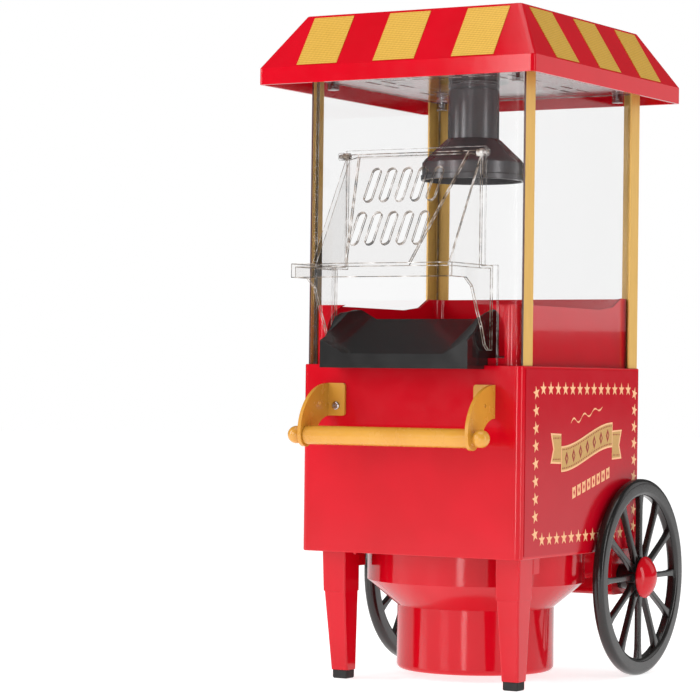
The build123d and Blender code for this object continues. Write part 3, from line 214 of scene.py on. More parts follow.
# %% [markdown]
# Moulded plastic, red or black, is nearly one colour. What makes it read as plastic is the clear gloss,
# a very slight drift of the colour through the thickness, and the faint orange peel that the mould leaves.

# %% Moulded plastics
def moulded(name, dark, light, gloss, coat=0.5, peel_mm=0.012, peel_size=2.2, shine=0.5):
    """A moulded plastic: two near shades, a range of gloss, and an orange peel of some depth and size."""
    material, tree, shader = new_finish(name)
    drift = noise(tree, 45.0, 2.0)
    tree.links.new(ramp(tree, drift, (0.3, dark), (0.7, light)), shader.inputs["Base Color"])
    tree.links.new(span(tree, noise(tree, 9.0), *gloss), shader.inputs["Roughness"])
    shader.inputs["Coat Weight"].default_value = coat
    shader.inputs["Coat Roughness"].default_value = 0.06
    shader.inputs["Specular IOR Level"].default_value = shine
    dent(tree, shader, noise(tree, peel_size, 1.0), peel_mm)
    return material


cart_red = moulded("cart_red_plastic", (0.50, 0.001, 0.008), (0.56, 0.001, 0.011), (0.08, 0.13), coat=0.0,
                   shine=0.45)
label_red = moulded("label_red_print", (0.43, 0.001, 0.010), (0.45, 0.002, 0.012), (0.14, 0.18), coat=0.0,
                    peel_mm=0.001, peel_size=1.6, shine=0.3)
spout_black = moulded("spout_black_plastic", (0.010, 0.0095, 0.0095), (0.015, 0.014, 0.014), (0.14, 0.20),
                      coat=0.5)
wheel_black = moulded("wheel_black_plastic", (0.009, 0.008, 0.008), (0.014, 0.013, 0.012), (0.18, 0.27),
                      coat=0.3, peel_mm=0.012, peel_size=0.9)
part_black = moulded("fitting_black_plastic", (0.015, 0.015, 0.016), (0.022, 0.022, 0.024), (0.3, 0.45),
                     coat=0.0, peel_mm=0.02, peel_size=0.6)
fan_white = moulded("fan_white_plastic", (0.72, 0.72, 0.68), (0.78, 0.78, 0.74), (0.35, 0.45), coat=0.0)
foot_rubber = moulded("foot_rubber", (0.012, 0.012, 0.012), (0.02, 0.02, 0.02), (0.6, 0.75), coat=0.0,
                      peel_mm=0.05, peel_size=0.5)
gasket_rubber = moulded("gasket_silicone", (0.45, 0.44, 0.41), (0.52, 0.51, 0.48), (0.55, 0.7), coat=0.0,
                        peel_mm=0.04, peel_size=0.7)
board_green = moulded("board_green_lacquer", (0.02, 0.16, 0.06), (0.03, 0.22, 0.08), (0.25, 0.4), coat=0.3)
handle_gold = moulded("handle_gold_lacquer", (0.56, 0.25, 0.026), (0.64, 0.31, 0.040), (0.20, 0.30),
                      coat=0.3, peel_mm=0.008, peel_size=1.6)
print("materials after the moulded plastics:", len(bpy.data.materials))

# %% [markdown]
# Metals and metal-look plastics get their character from the direction of the marks on them. The posts are
# brushed from top to bottom, so their noise is squeezed across and stretched upwards. Turned parts get a
# fine even grain instead.

# %% Metals
def metal(name, dark, light, rough, grain_mm, stretch=(1.0, 1.0, 1.0), metallic=1.0, depth_mm=0.01):
    """A metal or metal-look finish whose colour, gloss and relief follow one grain."""
    material, tree, shader = new_finish(name)
    grain = noise(tree, grain_mm, 4.0, stretch)
    tree.links.new(ramp(tree, grain, (0.3, dark), (0.7, light)), shader.inputs["Base Color"])
    tree.links.new(span(tree, grain, *rough), shader.inputs["Roughness"])
    shader.inputs["Metallic"].default_value = metallic
    dent(tree, shader, grain, depth_mm)
    return material


UPRIGHT_BRUSH = (1.0, 1.0, 0.02)
post_gold = metal("post_gold_brushed", (0.64, 0.37, 0.075), (0.78, 0.48, 0.13), (0.28, 0.42), 0.35,
                  UPRIGHT_BRUSH, metallic=0.25, depth_mm=0.006)
hood_grey = metal("hood_grey_satin", (0.110, 0.106, 0.110), (0.125, 0.121, 0.125), (0.24, 0.27), 1.2,
                  metallic=0.45, depth_mm=0.0015)
bright_steel = metal("bright_steel", (0.62, 0.62, 0.63), (0.78, 0.78, 0.79), (0.14, 0.24), 0.8)
duct_steel = metal("duct_galvanised", (0.42, 0.43, 0.45), (0.58, 0.59, 0.61), (0.3, 0.45), 6.0)
chamber_aluminium = metal("chamber_aluminium", (0.62, 0.62, 0.63), (0.74, 0.74, 0.75), (0.25, 0.35), 0.6)
motor_steel = metal("motor_steel", (0.40, 0.40, 0.42), (0.52, 0.52, 0.54), (0.28, 0.4), 0.5)
heater_wire = metal("heater_wire", (0.18, 0.15, 0.13), (0.30, 0.26, 0.23), (0.35, 0.5), 0.4)
heater_mica = metal("heater_mica", (0.48, 0.41, 0.30), (0.64, 0.57, 0.45), (0.35, 0.6), 3.0, metallic=0.0)
print("materials after the metals:", len(bpy.data.materials))

# %% [markdown]
# The roof stripes are a gold foil with a fine woven look. Two sets of slanting ribs cross each other: where
# both are high the foil is bright, and where both are low it is dark. Sines of the coordinates give the
# ribs without any image.

# %% Woven gold foil
FOIL_PITCH_MM = 1.5


def ribs(tree, direction):
    """Sine ribs that run across a direction, from -1 to 1."""
    place = tree.nodes.new("ShaderNodeTexCoord")
    along = tree.nodes.new("ShaderNodeVectorMath")
    along.operation = "DOT_PRODUCT"
    along.inputs[1].default_value = Vector(direction) * (2 * pi / (FOIL_PITCH_MM * MM))
    tree.links.new(place.outputs["Object"], along.inputs[0])
    wave = tree.nodes.new("ShaderNodeMath")
    wave.operation = "SINE"
    tree.links.new(along.outputs["Value"], wave.inputs[0])
    return wave.outputs["Value"]


def woven_foil(name):
    """A foil whose colour and relief follow two crossing sets of ribs and a little noise."""
    material, tree, shader = new_finish(name)
    weave = tree.nodes.new("ShaderNodeMath")
    weave.operation = "MULTIPLY_ADD"
    tree.links.new(ribs(tree, (0.7, 0.7, 0.55)), weave.inputs[0])
    tree.links.new(ribs(tree, (0.7, 0.7, -0.55)), weave.inputs[1])
    tree.links.new(noise(tree, 0.9, 2.0), weave.inputs[2])
    shades = ramp(tree, weave.outputs["Value"], (0.0, (0.52, 0.28, 0.025)), (0.55, (0.64, 0.37, 0.045)),
                  (1.0, (0.78, 0.48, 0.08)))
    tree.links.new(shades, shader.inputs["Base Color"])
    tree.links.new(span(tree, noise(tree, 4.0), 0.34, 0.46), shader.inputs["Roughness"])
    shader.inputs["Metallic"].default_value = 0.2
    dent(tree, shader, weave.outputs["Value"], 0.05, 0.6)
    return material


foil_gold = woven_foil("roof_gold_foil")

# %% [markdown]
# The panes are thin and flat, so nothing behind them looks bent. A Transparent shader shows what is behind,
# and a little mirror is mixed in. A real sheet mirrors more at a slant: the share grows with the fifth power
# of how far the sheet turns away. Cut and rounded edges are different: they bend light so much that they
# read as brown, grey and white lines, and an edge finish with a long soft noise gives those.

# %% Clear plastics
def sheet(name, film, shown, rough=(0.02, 0.05)):
    """A clear sheet: the mirror share seen straight on, and how much of the scene behind gets through."""
    material, tree, shader = new_finish(name)
    tone = ramp(tree, noise(tree, 60.0, 2.0), (0.3, (0.86, 0.86, 0.86)), (0.7, (0.92, 0.92, 0.92)))
    tree.links.new(tone, shader.inputs["Base Color"])
    tree.links.new(span(tree, noise(tree, 24.0), *rough), shader.inputs["Roughness"])
    shader.inputs["Metallic"].default_value = 1.0
    through = tree.nodes.new("ShaderNodeBsdfTransparent")
    through.inputs["Color"].default_value = (*shown, 1.0)
    slant = tree.nodes.new("ShaderNodeLayerWeight")
    slant.inputs["Blend"].default_value = 0.5
    steep = tree.nodes.new("ShaderNodeMath")
    steep.operation = "POWER"
    steep.inputs[1].default_value = 5.0
    tree.links.new(slant.outputs["Facing"], steep.inputs[0])
    share = tree.nodes.new("ShaderNodeMath")
    share.operation = "MULTIPLY_ADD"
    share.inputs[1].default_value = 0.9
    share.inputs[2].default_value = film
    share.use_clamp = True
    tree.links.new(steep.outputs["Value"], share.inputs[0])
    both = tree.nodes.new("ShaderNodeMixShader")
    tree.links.new(share.outputs["Value"], both.inputs["Fac"])
    tree.links.new(through.outputs["BSDF"], both.inputs[1])
    tree.links.new(shader.outputs["BSDF"], both.inputs[2])
    tree.links.new(both.outputs["Shader"], tree.nodes["Material Output"].inputs["Surface"])
    return material


def clear_edge(name, dark, pale, solid):
    """The bright and dark lines on the edges of a clear moulding."""
    material, tree, shader = new_finish(name)
    streak = noise(tree, 7.0, 2.0)
    tree.links.new(ramp(tree, streak, (0.34, dark), (0.52, pale), (0.70, (0.80, 0.78, 0.76))),
                   shader.inputs["Base Color"])
    tree.links.new(span(tree, streak, 0.08, 0.2), shader.inputs["Roughness"])
    through = tree.nodes.new("ShaderNodeBsdfTransparent")
    both = tree.nodes.new("ShaderNodeMixShader")
    both.inputs["Fac"].default_value = solid
    tree.links.new(through.outputs["BSDF"], both.inputs[1])
    tree.links.new(shader.outputs["BSDF"], both.inputs[2])
    tree.links.new(both.outputs["Shader"], tree.nodes["Material Output"].inputs["Surface"])
    return material


window_clear = sheet("window_clear_plastic", 0.014, (0.99, 0.99, 0.99))
hatch_clear = sheet("hatch_clear_plastic", 0.025, (0.985, 0.982, 0.98), (0.02, 0.06))
ceiling_clear = sheet("ceiling_clear_plastic", 0.08, (0.86, 0.85, 0.85), (0.08, 0.16))
cup_clear = sheet("cup_smoked_plastic", 0.10, (0.30, 0.31, 0.33), (0.04, 0.09))
window_edge = clear_edge("window_cut_edge", (0.22, 0.19, 0.18), (0.40, 0.37, 0.35), 0.45)
hatch_edge = clear_edge("hatch_rounded_edge", (0.030, 0.024, 0.020), (0.30, 0.24, 0.19), 0.8)
ceiling_edge = clear_edge("ceiling_cut_edge", (0.16, 0.13, 0.12), (0.40, 0.37, 0.35), 0.7)

# %% [markdown]
# The floor is a plain pale card with a slight sheen, so the cart gets a soft shadow and a faint reflection
# under it.

# %% Floor finish
floor_card, floor_tree, floor_shader = new_finish("studio_card")
floor_tone = ramp(floor_tree, noise(floor_tree, 300.0, 1.0), (0.3, (0.90, 0.90, 0.90)),
                  (0.7, (0.92, 0.92, 0.92)))
floor_tree.links.new(floor_tone, floor_shader.inputs["Base Color"])
floor_shader.inputs["Roughness"].default_value = 0.22
floor_shader.inputs["Emission Color"].default_value = (1.0, 1.0, 1.0, 1.0)
floor_shader.inputs["Specular IOR Level"].default_value = 0.2
floor_shader.inputs["Emission Strength"].default_value = 0.7
floor.data.materials.append(floor_card)

# %% [markdown]
# Mechanical pieces whose CAD shape is right keep that shape and only get a finish. This table says which.

# %% Finishes for the CAD nodes
NODE_FINISHES = {
    cart_red: ["cart_body", "base_pan", "motor_housing", "basin", "axle_beam", "roof_shell", "hub_cap_left",
               "hub_cap_right", "front_leg_left", "front_leg_right"],
    label_red: ["side_label_left", "side_label_right"],
    spout_black: ["spout"],
    wheel_black: ["wheel_left", "wheel_right"],
    part_black: ["switch_housing", "switch_rocker", "thermostat", "thermal_fuse", "board_diodes"],
    fan_white: ["fan_wheel"],
    foot_rubber: ["rubber_foot_left", "rubber_foot_right", "cord_gland"],
    gasket_rubber: ["chamber_gasket"],
    board_green: ["circuit_board"],
    handle_gold: ["handle_bar", "handle_bracket_left", "handle_bracket_right", "handle_knob_left",
                  "handle_knob_right"],
    post_gold: ["front_post_left", "front_post_right", "rear_post_left", "rear_post_right"],
    foil_gold: ["roof_stripes"],
    hood_grey: ["feed_tube", "kettle_hood", "feed_collar"],
    bright_steel: ["bracket_screws", "ceiling_screws", "pan_screws", "motor_plate_screws", "axle_rod",
                   "axle_clips", "motor_shaft"],
    duct_steel: ["air_duct", "motor_plate"],
    chamber_aluminium: ["popping_chamber"],
    motor_steel: ["motor"],
    heater_wire: ["heater_coil"],
    heater_mica: ["heater_frame"],
    window_clear: ["front_window", "side_window_left", "side_window_right", "rear_window"],
    hatch_clear: ["front_hatch"],
    ceiling_clear: ["ceiling_plate"],
    cup_clear: ["kernel_cup"],
    hatch_edge: ["hinge_pins"],
}
for material, names in NODE_FINISHES.items():
    for name in names:
        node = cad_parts[name]
        node.data.materials.clear()
        node.data.materials.append(material)
finished = sum(len(names) for names in NODE_FINISHES.values())
print("finished", finished, "of", len(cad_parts), "CAD nodes")

# %% [markdown]
# Moulded and pressed parts never have knife edges: a small radius on each edge catches the light as a thin
# bright line. The CAD shape of these parts is right, so each gets a copy of its mesh. The loose triangles
# are merged, flat areas become one face again, and every sharp edge is bevelled by a few tenths of a
# millimetre. A Bevel modifier would do the same, but on a mesh of loose triangles it would bevel nothing.
# Weighted normals then keep the large faces flat to the eye, so that only the bevels look round.

# %% Soft edges on copies of the CAD meshes
def finish_piece(mesh, name, body, nodes, material):
    """Turn a bmesh into a piece that rides on a body, stands for nodes and has a finish."""
    data = bpy.data.meshes.new(name)
    mesh.to_mesh(data)
    mesh.free()
    piece = bpy.data.objects.new(name, data)
    bpy.context.collection.objects.link(piece)
    for finish in material if isinstance(material, (list, tuple)) else [material]:
        data.materials.append(finish)
    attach(piece, body)
    if nodes:
        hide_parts(*nodes)
    level = piece.modifiers.new("weighted_normals", "WEIGHTED_NORMAL")
    level.keep_sharp = True
    print(name, "faces", len(data.polygons))
    return piece


def shade_smooth(mesh, below_degrees=35.0):
    """Smooth faces; edges sharper than the angle stay crisp."""
    for face in mesh.faces:
        face.smooth = True
    for edge in mesh.edges:
        edge.smooth = len(edge.link_faces) == 2 and edge.calc_face_angle(0.0) < radians(below_degrees)


def soft_copy(node, radius_mm, segments=2):
    """A copy of a node's mesh with its sharp edges rounded."""
    soft = bmesh.new()
    soft.from_mesh(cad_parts[node].data)
    bmesh.ops.remove_doubles(soft, verts=soft.verts, dist=0.002 * MM)
    bmesh.ops.dissolve_limit(soft, angle_limit=radians(0.5), verts=soft.verts, edges=soft.edges)
    corners = [edge for edge in soft.edges if edge.calc_face_angle(0.0) > radians(30.0)]
    bmesh.ops.bevel(soft, geom=corners, offset=radius_mm * MM, offset_type="OFFSET", segments=segments,
                    profile=0.5, material=-1, affect="EDGES", clamp_overlap=True)
    shade_smooth(soft)
    return soft


SOFT_PARTS = {
    "cart_body": (0.45, "root", cart_red, "cart_red"),
    "base_pan": (0.4, "root", cart_red, "cart_red"),
    "motor_housing": (0.4, "root", cart_red, "cart_red"),
    "axle_beam": (0.5, "root", cart_red, "cart_red"),
    "basin": (0.5, "root", cart_red, "cart_red"),
    "roof_shell": (0.6, "roof", cart_red, "cart_red"),
    "spout": (0.45, "root", spout_black, "spout_black"),
    "handle_bracket_left": (0.35, "root", handle_gold, "handle_gold"),
    "handle_bracket_right": (0.35, "root", handle_gold, "handle_gold"),
    "rear_post_left": (0.35, "root", post_gold, "trim_gold"),
    "rear_post_right": (0.35, "root", post_gold, "trim_gold"),
    "switch_housing": (0.3, "root", part_black, "part_black"),
    "switch_rocker": (0.35, "switch_rocker", part_black, "part_black"),
    "cord_gland": (0.3, "root", foot_rubber, "foot_rubber"),
    "rubber_foot_left": (0.5, "root", foot_rubber, "foot_rubber"),
    "rubber_foot_right": (0.5, "root", foot_rubber, "foot_rubber"),
}
for node, (radius, body, material, slot) in SOFT_PARTS.items():
    finish_piece(soft_copy(node, radius), "soft_" + node, body, [node], material)

# %% [markdown]
# On a clear part the edges are all one sees. Faces that lie in one plane are gathered into a patch, and each
# patch gets a narrow rim along its border with the edge finish. Patches too narrow for a rim, such as the
# walls of a slot or the cut end of a sheet, take the edge finish whole.

# %% Rims on the clear parts
def patches(mesh, flat_degrees):
    """Groups of faces joined over edges that are flatter than an angle."""
    left = set(mesh.faces)
    groups = []
    for seed in mesh.faces:
        if seed not in left:
            continue
        left.remove(seed)
        group = [seed]
        for face in group:
            for edge in face.edges:
                if len(edge.link_faces) == 2 and edge.calc_face_angle(0.0) < radians(flat_degrees):
                    for other in edge.link_faces:
                        if other in left:
                            left.remove(other)
                            group.append(other)
        groups.append(group)
    return groups


def rimmed_copy(node, rim_mm, flat_degrees):
    """A copy of a clear node's mesh with the edge finish, slot 1, along the border of each patch."""
    clear_part = bmesh.new()
    clear_part.from_mesh(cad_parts[node].data)
    bmesh.ops.remove_doubles(clear_part, verts=clear_part.verts, dist=0.002 * MM)
    bmesh.ops.dissolve_limit(clear_part, angle_limit=radians(0.5), verts=clear_part.verts,
                             edges=clear_part.edges)
    for group in patches(clear_part, flat_degrees):
        inside = set(group)
        border = sum(edge.calc_length() for face in group for edge in face.edges
                     if any(other not in inside for other in edge.link_faces))
        width = 2 * sum(face.calc_area() for face in group) / border
        if width < 3.0 * rim_mm * MM:
            for face in group:
                face.material_index = 1
            continue
        rim = bmesh.ops.inset_region(clear_part, faces=group, thickness=rim_mm * MM, use_even_offset=True,
                                     use_boundary=True)
        for face in rim["faces"]:
            face.material_index = 1
    shade_smooth(clear_part, flat_degrees)
    return clear_part


CLEAR_PARTS = {
    "front_window": (0.4, 35.0, "root", window_clear, window_edge),
    "side_window_left": (0.4, 35.0, "root", window_clear, window_edge),
    "side_window_right": (0.4, 35.0, "root", window_clear, window_edge),
    "rear_window": (0.4, 35.0, "root", window_clear, window_edge),
    "ceiling_plate": (0.5, 35.0, "root", ceiling_clear, ceiling_edge),
    "front_hatch": (0.5, 6.0, "front_hatch", hatch_clear, hatch_edge),
}
for node, (rim_mm, flat, body, sheet_finish, edge_finish) in CLEAR_PARTS.items():
    finish_piece(rimmed_copy(node, rim_mm, flat), "rimmed_" + node, body, [node],
                 [sheet_finish, edge_finish])

# %% [markdown]
# The front posts are flat gold strips. Beside the window, where the glass corner is seen edge-on, a thin dark
# line shows. That line is painted shade: a second, dark red material on the faces of the post that point
# forwards gives it.

# %% Front posts
# painted shade: a dark red for the faces that point forwards, standing for the dark line beside the glass
# corner
painted_post_shade = moulded("post_painted_shade_line", (0.045, 0.008, 0.008), (0.07, 0.012, 0.012), (0.25, 0.35), 0.2)
for side in ("left", "right"):
    strip = soft_copy("front_post_" + side, 0.25)
    for face in strip.faces:
        # the faces that point forwards take the painted shade, slot 1
        face.material_index = 1 if face.normal.y < -0.9 else 0
    finish_piece(strip, "gilded_front_post_" + side, "root", ["front_post_" + side], [post_gold, painted_post_shade])

# %% [markdown]
# Anything turned on a lathe is a profile swept round an axis, so spin makes it: a row of points from the
# axis outwards, joined by edges, and one full turn. The doubled seam and the points on the axis are merged,
# and the normals are recalculated. Small arcs in the profile round the corners as the mould does.

# %% Turned pieces
def arc(centre, radius, start, end, steps=6):
    """Points of an arc in the profile plane, as (distance from the axis, height)."""
    points = []
    for step in range(steps + 1):
        angle = radians(start + (end - start) * step / steps)
        points.append((centre[0] + radius * cos(angle), centre[1] + radius * sin(angle)))
    return points


def lathe(profile_mm, steps=96):
    """Spin a closed profile about Z: a ring, or a solid where the profile meets the axis."""
    turned = bmesh.new()
    row = [turned.verts.new((r * MM, 0.0, z * MM)) for r, z in profile_mm]
    wires = [turned.edges.new(pair) for pair in zip(row, row[1:])]
    wires.append(turned.edges.new((row[-1], row[0])))
    bmesh.ops.spin(turned, geom=row + wires, cent=(0, 0, 0), axis=(0, 0, 1), angle=2 * pi, steps=steps,
                   use_merge=True)
    bmesh.ops.remove_doubles(turned, verts=turned.verts, dist=0.001 * MM)
    bmesh.ops.dissolve_degenerate(turned, edges=turned.edges, dist=0.001 * MM)
    bmesh.ops.recalc_face_normals(turned, faces=turned.faces)
    shade_smooth(turned)
    return turned


def place(mesh, position_mm, turn=None):
    """Turn a mesh about the origin, then move it to its place."""
    matrix = Matrix.Translation(Vector(position_mm) * MM)
    bmesh.ops.transform(mesh, matrix=matrix @ turn if turn else matrix, verts=mesh.verts)
    return mesh


def node_box(node):
    """Lowest and highest corner of a node in millimetres, and its middle."""
    low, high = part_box(node)
    low = Vector(low) / MM
    high = Vector(high) / MM
    return low, high, (low + high) / 2


# %% [markdown]
# The feed tube and its hood hang from the ceiling as one grey form: a straight tube with a groove near its
# top, a cone, a rounded shoulder, and a skirt with a small step before its lower lip. The radii on the
# shoulder matter most, because they turn one hard line into the soft band of light of a spun metal hood.

# %% Feed tube and hood
tube_low, tube_high, tube_middle = node_box("feed_tube")
hood_low, hood_high, _ = node_box("kettle_hood")
TUBE_R = (tube_high.x - tube_low.x) / 2
METAL_WALL = 1.6
BORE_R = TUBE_R - METAL_WALL
GROOVE_TOP = tube_high.z - 1.8
GROOVE_BOTTOM = tube_high.z - 3.4
GROOVE_R = TUBE_R - 0.5
GROOVE_SLOPE = 0.4
tube_axis = (tube_middle.x, tube_middle.y, 0)
tube_profile = [(TUBE_R, tube_low.z), (TUBE_R, GROOVE_BOTTOM), (GROOVE_R, GROOVE_BOTTOM + GROOVE_SLOPE),
                (GROOVE_R, GROOVE_TOP - GROOVE_SLOPE), (TUBE_R, GROOVE_TOP), (TUBE_R, tube_high.z),
                (BORE_R, tube_high.z), (BORE_R, tube_low.z)]
finish_piece(place(lathe(tube_profile), tube_axis), "grey_feed_tube", "root", ["feed_tube"], hood_grey)

LIP_STEP = 0.8
LIP_R = (hood_high.x - hood_low.x) / 2
HOOD_R = LIP_R - LIP_STEP
STEP_Z = hood_low.z + 4.0
SHOULDER_Z = hood_low.z + 13.3
SHOULDER_R = 2.2
hood_profile = [(TUBE_R, tube_low.z), (TUBE_R + 0.6, tube_low.z - 0.25), (TUBE_R + 1.6, tube_low.z - 0.95)]
hood_profile += [(HOOD_R - 1.6, SHOULDER_Z + 1.3)]
hood_profile += arc((HOOD_R - SHOULDER_R, SHOULDER_Z - 1.6), SHOULDER_R, 55, 0)
hood_profile += [(HOOD_R, STEP_Z + 0.4), (HOOD_R + 0.2, STEP_Z), (LIP_R, STEP_Z - 0.3)]
hood_profile += [(LIP_R, hood_low.z + 0.4), (LIP_R - 0.4, hood_low.z), (HOOD_R - METAL_WALL, hood_low.z)]
hood_profile += [(HOOD_R - METAL_WALL, SHOULDER_Z - 1.5), (BORE_R, tube_low.z - METAL_WALL)]
hood_profile += [(BORE_R, tube_low.z)]
finish_piece(place(lathe(hood_profile), tube_axis), "grey_kettle_hood", "root", ["kettle_hood"], hood_grey)

# %% [markdown]
# The handle is a plain round bar with ball knobs. Bar and knobs are turned pieces laid along X. The knob has
# a short neck against the bracket, and the bar has a small radius at each end.

# %% Handle bar and knobs
bar_low, bar_high, bar_middle = node_box("handle_bar")
BAR_R = (bar_high.z - bar_low.z) / 2
NECK_R = 3.95
NECK_LENGTH = 5.7
BAR_HALF = bar_high.x - NECK_LENGTH
END_R = 0.6
ALONG_X = Matrix.Rotation(radians(90), 4, "Y")
half_bar = [(0, -bar_high.x), (NECK_R, -bar_high.x), (NECK_R, -BAR_HALF)]
half_bar += arc((BAR_R - END_R, END_R - BAR_HALF), END_R, -90, 0, 4)
bar_profile = half_bar + [(r, -z) for r, z in reversed(half_bar)]
bar_axis = (0, bar_middle.y, bar_middle.z)
finish_piece(place(lathe(bar_profile, 64), bar_axis, ALONG_X), "lacquered_handle_bar", "root",
             ["handle_bar"], handle_gold)
SOCKET_DEPTH = 3.0
COLLAR_R = 4.9
for side, sign in (("left", -1), ("right", 1)):
    low, high, _ = node_box("handle_knob_" + side)
    knob_r = (high.z - low.z) / 2
    centre = max(abs(low.x), abs(high.x)) - knob_r
    start = min(abs(low.x), abs(high.x))
    knob = [(NECK_R, start + SOCKET_DEPTH), (NECK_R, start), (COLLAR_R, start)]
    knob += arc((0, centre), knob_r, -54, 90, 20)
    knob += [(0, start + SOCKET_DEPTH)]
    turn = Matrix.Rotation(radians(90 * sign), 4, "Y")
    finish_piece(place(lathe(knob, 48), bar_axis, turn), "lacquered_knob_" + side, "root",
                 ["handle_knob_" + side], handle_gold)

# %% [markdown]
# Each wheel is one black moulding: a rim whose section is nearly a rounded square, twelve slim spokes that
# swell into the rim and the hub, and a flat hub. The rim is a spun section. One spoke is a small block that
# is subdivided and waisted, and is made again at each place round the axle.

# %% Wheels
SPOKES = 12
wheel_low, wheel_high, wheel_middle = node_box("wheel_right")
WHEEL_R = (wheel_high.z - wheel_low.z) / 2
RIM_RADIAL = 12.0
RIM_WIDTH = 8.5
TYRE_CORNER_R = 3.4
INNER_CORNER_R = 3.0
HUB_R = 13.0
SLEEVE_R = 9.0
AXLE_BORE_R = 3.06
CAP_RECESS_R = 10.0
CAP_RECESS_DEPTH = 3.0
SPOKE_HALF = 2.2
RIM_FACE = wheel_high.x


def add_block(mesh, low, high):
    """A block between two corners in millimetres; its vertices are returned for shaping."""
    low = Vector(low) * MM
    high = Vector(high) * MM
    size = high - low
    matrix = Matrix.Translation((low + high) / 2) @ Matrix.Diagonal((*size, 1.0))
    return bmesh.ops.create_cube(mesh, size=1.0, matrix=matrix)["verts"]


def wheel_mesh():
    """A wheel about Z with its outer face at z = RIM_WIDTH / 2."""
    half = RIM_WIDTH / 2
    outer = WHEEL_R
    inner = WHEEL_R - RIM_RADIAL
    tyre = (outer - TYRE_CORNER_R, half - TYRE_CORNER_R)
    inside = (inner + INNER_CORNER_R, half - INNER_CORNER_R)
    rim = arc(tyre, TYRE_CORNER_R, 0, 90, 5) + arc(inside, INNER_CORNER_R, 90, 180, 5)
    rim += arc((inside[0], -inside[1]), INNER_CORNER_R, 180, 270, 5)
    rim += arc((tyre[0], -tyre[1]), TYRE_CORNER_R, 270, 360, 5)
    wheel = lathe(rim, 120)
    sleeve_end = wheel_low.x - (wheel_high.x - half)
    recess_floor = half - CAP_RECESS_DEPTH
    hub = [(AXLE_BORE_R, sleeve_end), (SLEEVE_R, sleeve_end), (SLEEVE_R, -half), (HUB_R - 1.0, -half),
           (HUB_R, 1.0 - half), (HUB_R, half - 1.0), (HUB_R - 1.0, half), (CAP_RECESS_R, half),
           (CAP_RECESS_R, recess_floor), (AXLE_BORE_R, recess_floor)]
    add_mesh(wheel, lathe(hub, 60))
    for turn in range(SPOKES):
        spoke = bmesh.new()
        add_block(spoke, (HUB_R - 1.0, -SPOKE_HALF, -SPOKE_HALF), (inner + 1.0, SPOKE_HALF, SPOKE_HALF))
        long_edges = [e for e in spoke.edges if abs((e.verts[0].co - e.verts[1].co).x) > 10 * MM]
        bmesh.ops.subdivide_edges(spoke, edges=long_edges, cuts=5, use_grid_fill=True)
        for vert in spoke.verts:
            along = (vert.co.x / MM - HUB_R) / (inner - HUB_R)
            swell = 0.86 + 0.5 * abs(2.0 * along - 1.0) ** 4
            vert.co.y *= swell
            vert.co.z *= 0.9 + 0.1 * swell
        ridges = [e for e in spoke.edges if len(e.link_faces) == 2 and e.calc_face_angle(0.0) > radians(40)]
        bmesh.ops.bevel(spoke, geom=ridges, offset=0.9 * MM, offset_type="OFFSET", segments=3, profile=0.5,
                        material=-1, affect="EDGES", clamp_overlap=True)
        shade_smooth(spoke, 50)
        bmesh.ops.rotate(spoke, cent=(0, 0, 0), matrix=Matrix.Rotation(2 * pi * turn / SPOKES, 3, "Z"),
                         verts=spoke.verts)
        add_mesh(wheel, spoke)
    return wheel


def add_mesh(target, part):
    """Move one bmesh into another."""
    data = bpy.data.meshes.new("part")
    part.to_mesh(data)
    part.free()
    target.from_mesh(data)
    bpy.data.meshes.remove(data)


for side, sign in (("left", -1), ("right", 1)):
    turn = Matrix.Rotation(radians(90 * sign), 4, "Y")
    centre = (sign * (RIM_FACE - RIM_WIDTH / 2), wheel_middle.y, wheel_middle.z)
    finish_piece(place(wheel_mesh(), centre, turn), "spoked_wheel_" + side, "wheel_" + side,
                 ["wheel_" + side], wheel_black)

# %% [markdown]
# The hub caps are glossy red domes with a short upright edge. A hollow plug behind each sits in the hub.

# %% Hub caps
PLUG_R = 9.9
PLUG_BORE_R = 8.0
PLUG_DEPTH = 2.8
CAP_EDGE = 1.5
for side, sign in (("left", -1), ("right", 1)):
    low, high, middle = node_box("hub_cap_" + side)
    cap_r = (high.z - low.z) / 2
    reach = max(abs(low.x), abs(high.x)) - RIM_FACE
    rise = reach - CAP_EDGE
    dome_r = (cap_r ** 2 + rise ** 2) / (2 * rise)
    brim = degrees(asin((cap_r - 0.5) / dome_r))
    cap = [(PLUG_R, -PLUG_DEPTH), (PLUG_R, 0.0), (cap_r - 0.4, 0.0), (cap_r, 0.4), (cap_r, CAP_EDGE - 0.1)]
    cap += arc((0, reach - dome_r), dome_r, 90 - brim, 90, 18)
    cap += [(0, PLUG_DEPTH), (PLUG_BORE_R, PLUG_DEPTH), (PLUG_BORE_R, -PLUG_DEPTH)]
    turn = Matrix.Rotation(radians(90 * sign), 4, "Y")
    finish_piece(place(lathe(cap, 72), (sign * RIM_FACE, middle.y, middle.z), turn), "domed_cap_" + side,
                 "wheel_" + side, ["hub_cap_" + side], cart_red)

# %% [markdown]
# Each front leg has two storeys: a wider sleeve under the body and a longer shank that tapers down to the
# foot. Both start as a block whose lower corners are pulled inwards, and the upright edges get a generous
# radius. The thin step where the shank leaves the sleeve is what makes the leg look assembled.

